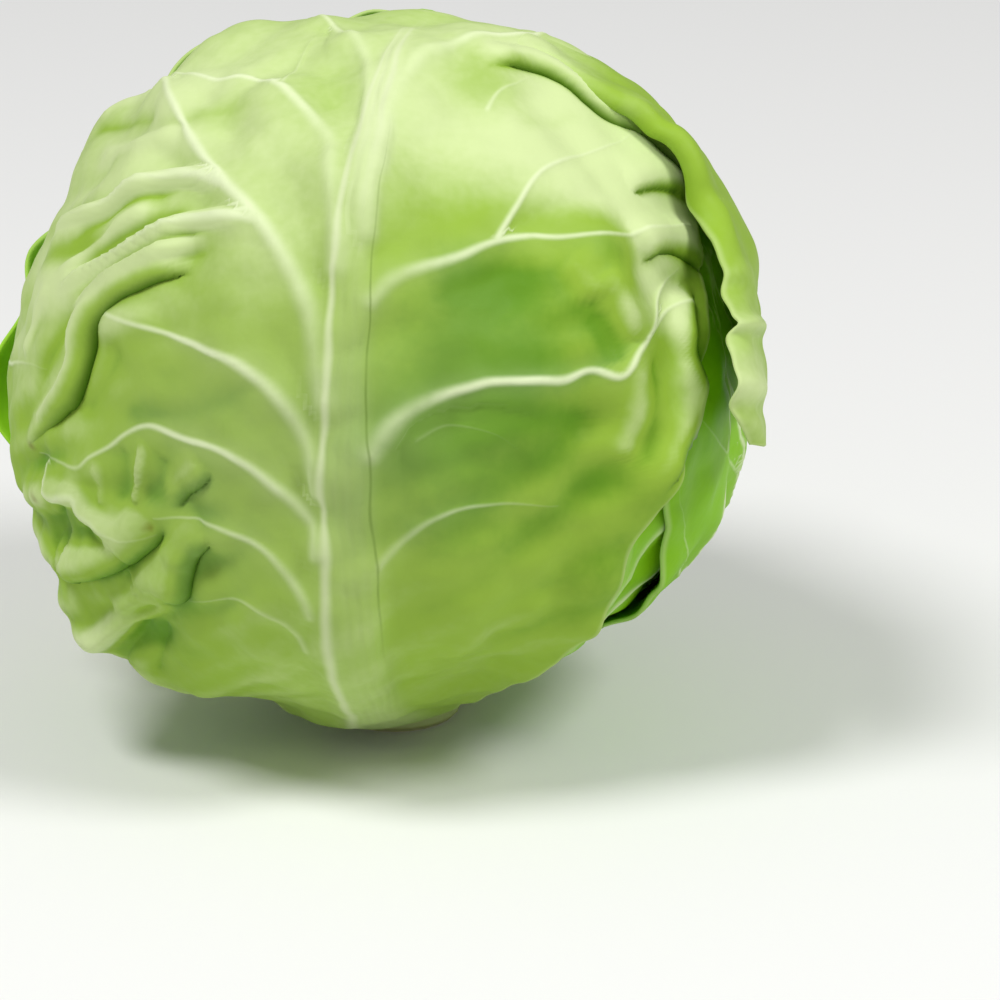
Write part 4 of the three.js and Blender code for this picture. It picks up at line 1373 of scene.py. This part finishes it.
# %% [markdown]
# High on the right the front leaf folds out into a lobe, which hangs over the right side with a
# free, rolled and waved rim. It is a second sheet between two drawn lines, rooted in the blade at
# its upper end.

# %% The front leaf's lobe
LOBE_RIM = [(27, 75.5), (34.5, 77), (42, 75), (49, 70), (56, 65), (62, 60.5), (68.5, 54),
            (74.5, 46.5), (80.5, 37.5), (83, 28.5), (84.5, 20), (84.5, 12), (84, 4), (84.5, -3),
            (85.5, -9), (88, -15), (92.5, -21)]
LOBE_BACK = [(158, 122), (140, 117), (122, 112), (106, 107), (94, 98), (84, 88), (80, 83)]
LOBE_RIM_RADIUS = (89.0, 105.0)
LOBE_LIFT = 13.5
LOBE_LIFT_CURVE = 1.6
LOBE_OPENING = (0.06, 0.65)
LOBE_CORNER = 0.2
LOBE_CORNER_WIDTH = (0.3, 1.0)
LOBE_LEVEL = 1.9
LOBE_ROOT = 1.4  # the start lies this deep in the blade
LOBE_ROOT_LENGTH = (-0.02, 0.06)
LOBE_TAPER = (-0.03, 0.16)  # the roll grows along this stretch
LOBE_MARGIN = 9.0  # length of the margin that rolls or waves
LOBE_MARGIN_SHARE = 0.3  # of the net's rows
LOBE_MARGIN_START = (0.04, 0.07)  # where the margin begins, on the rolled and on the waved part
LOBE_ROLL = 215.0
LOBE_ROLLED = (0.42, 0.62)
LOBE_WAVE = 15.0
LOBE_LEAN = 48.0
LOBE_WAVES = 5.5
LOBE_UNEVENNESS = 1.5
# the lobe's shade blends from the blade's shade field, which holds painted light and shade
LOBE_SHADE = (0.9, 1.0)  # of the rolled part and of the waved part
LOBE_COLUMNS = 190
LOBE_ROWS = 72
# pleats across the lobe: where along it, half width there, height
LOBE_PLEATS = [(0.3, 0.03, 1.2), (0.36, 0.02, -0.9), (0.5, 0.03, -1.0), (0.66, 0.02, 0.8),
               (0.76, 0.012, 2.0), (0.79, 0.02, -1.0), (0.86, 0.02, 1.6), (0.9, 0.02, -1.2),
               (0.85, 0.16, 4.6)]
PLEAT_SLANT = 0.04
PLEAT_LENGTH = (0.45, 0.95)
# painted light and shade: a pleat's ridge paler, its valley greener
PLEAT_SHADE = 0.12  # for each millimetre of a pleat
LOBE_SPACING = 0.5
LOBE_PROBE = 0.02  # how far back the slope at the margin is taken
LOBE_WAVE_DRIFT = 0.45  # the slower wave that makes the waves uneven
LEAST_TURN = 1e-4
LOBE_EDGES = (30.0, 60.0, 150.0)  # millimetres from the rim, from the back and from the lower end
LOBE_SHADE_START = (0.04, 0.3)
FAR_FROM_RIB = (9.0, 60.0)  # in widths of the rib, and in millimetres


def along_curve(points, shares):
    """Directions at the given shares of a curve's length."""
    even = curve_through(points, LOBE_SPACING)
    at = shares * (len(even) - 1)
    steps = np.arange(len(even))
    return unit(np.stack([np.interp(at, steps, even[:, k]) for k in range(3)], axis=-1))


def pleats(along, back):
    height = np.zeros(len(along))
    for place, width, size in LOBE_PLEATS:
        height += size * bell((along - place - PLEAT_SLANT * back) / width)
    return height * smooth(1 - back, *PLEAT_LENGTH)


def lobe_point(along, back):
    """The middle of the lobe's blade, before its margin is rolled."""
    along = along * (1 - LOBE_CORNER * smooth(back, *LOBE_CORNER_WIDTH) ** 2)
    rim = on_front(LOBE_RIM, np.linspace(*LOBE_RIM_RADIUS, len(LOBE_RIM)))
    polar, azimuth = np.array(LOBE_BACK, dtype=float).T
    start = along_curve(rim, along)
    end = along_curve(direction(polar, azimuth), along)
    n = unit(start + (end - start) * back[:, None])
    lift = LOBE_LIFT * (1 - back) ** LOBE_LIFT_CURVE * smooth(along, *LOBE_OPENING)
    lift = lift + pleats(along, back)
    level = (LOBE_LEVEL + LOBE_ROOT) * smooth(along, *LOBE_ROOT_LENGTH) - LOBE_ROOT
    radius = underside(FRONT, n) + LEAF_THICKNESS / 2 + level + lift + ripples(n)
    return n, place_on_head(n, radius)


def make_lobe():
    """The lobe as a closed sheet, its margin rolled on one stretch and waved on the rest."""
    columns = np.linspace(0.0, 1.0, LOBE_COLUMNS + 1)
    rows = np.linspace(0.0, 1.0, LOBE_ROWS + 1)
    along, v = [values.reshape(-1) for values in np.meshgrid(columns, rows)]
    waved = smooth(along, *LOBE_ROLLED)
    first = LOBE_MARGIN_START[0] + (LOBE_MARGIN_START[1] - LOBE_MARGIN_START[0]) * waved
    past_margin = np.clip((v - LOBE_MARGIN_SHARE) / (1 - LOBE_MARGIN_SHARE), 0.0, 1.0)
    back = first + (1 - first) * past_margin
    n, middle = lobe_point(along, back)
    outward = unit(middle - lobe_point(along, back + LOBE_PROBE)[1])
    upward = unit(n - np.sum(n * outward, axis=1)[:, None] * outward)
    in_margin = np.clip(1 - v / LOBE_MARGIN_SHARE, 0.0, 1.0)
    walked = LOBE_MARGIN * smooth(along, *LOBE_TAPER) * in_margin
    phase = 2 * math.pi * LOBE_WAVES * along
    wave = LOBE_LEAN + LOBE_WAVE * np.sin(phase + LOBE_UNEVENNESS * np.sin(LOBE_WAVE_DRIFT * phase))
    turn = np.radians(LOBE_ROLL * (1 - waved) + wave * waved) * in_margin
    turn = np.where(np.abs(turn) < LEAST_TURN, LEAST_TURN, turn)
    ahead = walked * np.sin(turn) / turn
    down = walked * (1 - np.cos(turn)) / turn
    middle = middle + outward * ahead[:, None] - upward * down[:, None]
    zero = np.zeros(len(n))
    at_rim, at_back, at_end = LOBE_EDGES
    edge = np.minimum(v * at_rim, np.minimum((1 - v) * at_back, (1 - along) * at_end))
    # the lobe's shade, with painted light and shade: paler on pleats' ridges, greener in valleys
    own_shade = LOBE_SHADE[0] + (LOBE_SHADE[1] - LOBE_SHADE[0]) * waved
    own_shade = own_shade - PLEAT_SHADE * pleats(along, back)
    blade_shade = shade_of(n)
    shade = blade_shade + (own_shade - blade_shade) * smooth(along, *LOBE_SHADE_START)
    absent = ("groove", "rib_mask", "rib_ends", "rib_top", "rib_crease", "rib_pale", "bloom",
              "bruise", "glow")
    attributes = {**dict.fromkeys(absent, zero), "shade": shade, "edge": edge,
                  "rib_ratio": zero + FAR_FROM_RIB[0], "rib_across": zero + FAR_FROM_RIB[1]}
    return sheet_object("leaf_front_lobe", middle, np.full(len(n), LEAF_THICKNESS), zero,
                        LOBE_COLUMNS, LOBE_ROWS, attributes)


lobe = make_lobe()
lobe_wires = vein_net(FRONT)
run_tree(lobe, raise_veins, Veins=lobe_wires, Ridge_height=0.0, Tent_height=0.0,
         Tent_width=TENT_WIDTH * MM, Finish=outer_leaf_finish)
bpy.data.objects.remove(lobe_wires)
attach(lobe, "root")
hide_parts("leaf_front")
print(lobe.name, len(lobe.data.polygons), "faces")

# %% [markdown]
# Between the wrapper leaves the heart shows: the outermost of its tight leaves, smooth and pale.
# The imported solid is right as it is, so it only gets a finish, with the faint lines of leaf
# margins that lie tight on it.

# %% Heart finish
def dress(name, material):
    """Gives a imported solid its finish."""
    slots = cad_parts[name].data.materials
    slots.clear()
    slots.append(material)


heart = Finish("heart_green")
p = heart.place
broad = p.noise(22.0, 2.0)
cells = 1 - p.cracks(170.0).ramp(0.0, 0.08)
skin = broad.tint(srgb(206, 226, 140), srgb(176, 210, 96))
skin = (cells * 0.3).tint(skin, srgb(226, 238, 180))
heart.feed(Base_Color=skin, Roughness=0.42 + broad * 0.15)
heart.bump(cells * 0.4 + p.noise(60.0) * 0.5, 0.0008, 0.7)
heart.constants(Subsurface_Weight=0.12, Subsurface_Radius=(0.8, 1.0, 0.3), Subsurface_Scale=0.003)
dress("heart", heart.material)
print("heart gets", heart.material.name)

# %% [markdown]
# The stump is cut across with a knife. The cut face is moist and creamy, with a paler pith inside
# a ring of woody strands, and its skin is pale green with darker scars where leaves were taken
# off.

# %% Stump finish
FOOT_RADIUS = 16.5 * MM
stump = Finish("stump_cream")
p = stump.place
split = p.make("ShaderNodeSeparateXYZ", None, {"Vector": p}).socket.node
across_x, across_y, height = [Value(stump.tree, socket) for socket in split.outputs]
out = (across_x * across_x + across_y * across_y) ** 0.5 / FOOT_RADIUS
grain = p.noise(260.0, 4.0, 0.6)
ring = (out + (grain - 0.5) * 0.12).ramp(0.55, 0.72) * (1 - out.ramp(0.8, 0.92))
face = (ring * 0.7).tint(srgb(236, 234, 204), srgb(206, 196, 140))
face = out.ramp(0.86, 1.0).tint(face, srgb(170, 176, 104))
side = p.noise(90.0, 3.0).tint(srgb(214, 222, 166), srgb(184, 200, 122))
colour = height.ramp(0.0008, 0.002).tint(face, side)
stump.feed(Base_Color=colour, Roughness=0.5 + grain * 0.2)
stump.bump(grain * 0.6 + ring * 0.4, 0.0006, 0.7)
stump.constants(Subsurface_Weight=0.1, Subsurface_Radius=(1.0, 0.9, 0.5), Subsurface_Scale=0.003)
dress("stump", stump.material)
print("stump gets", stump.material.name)
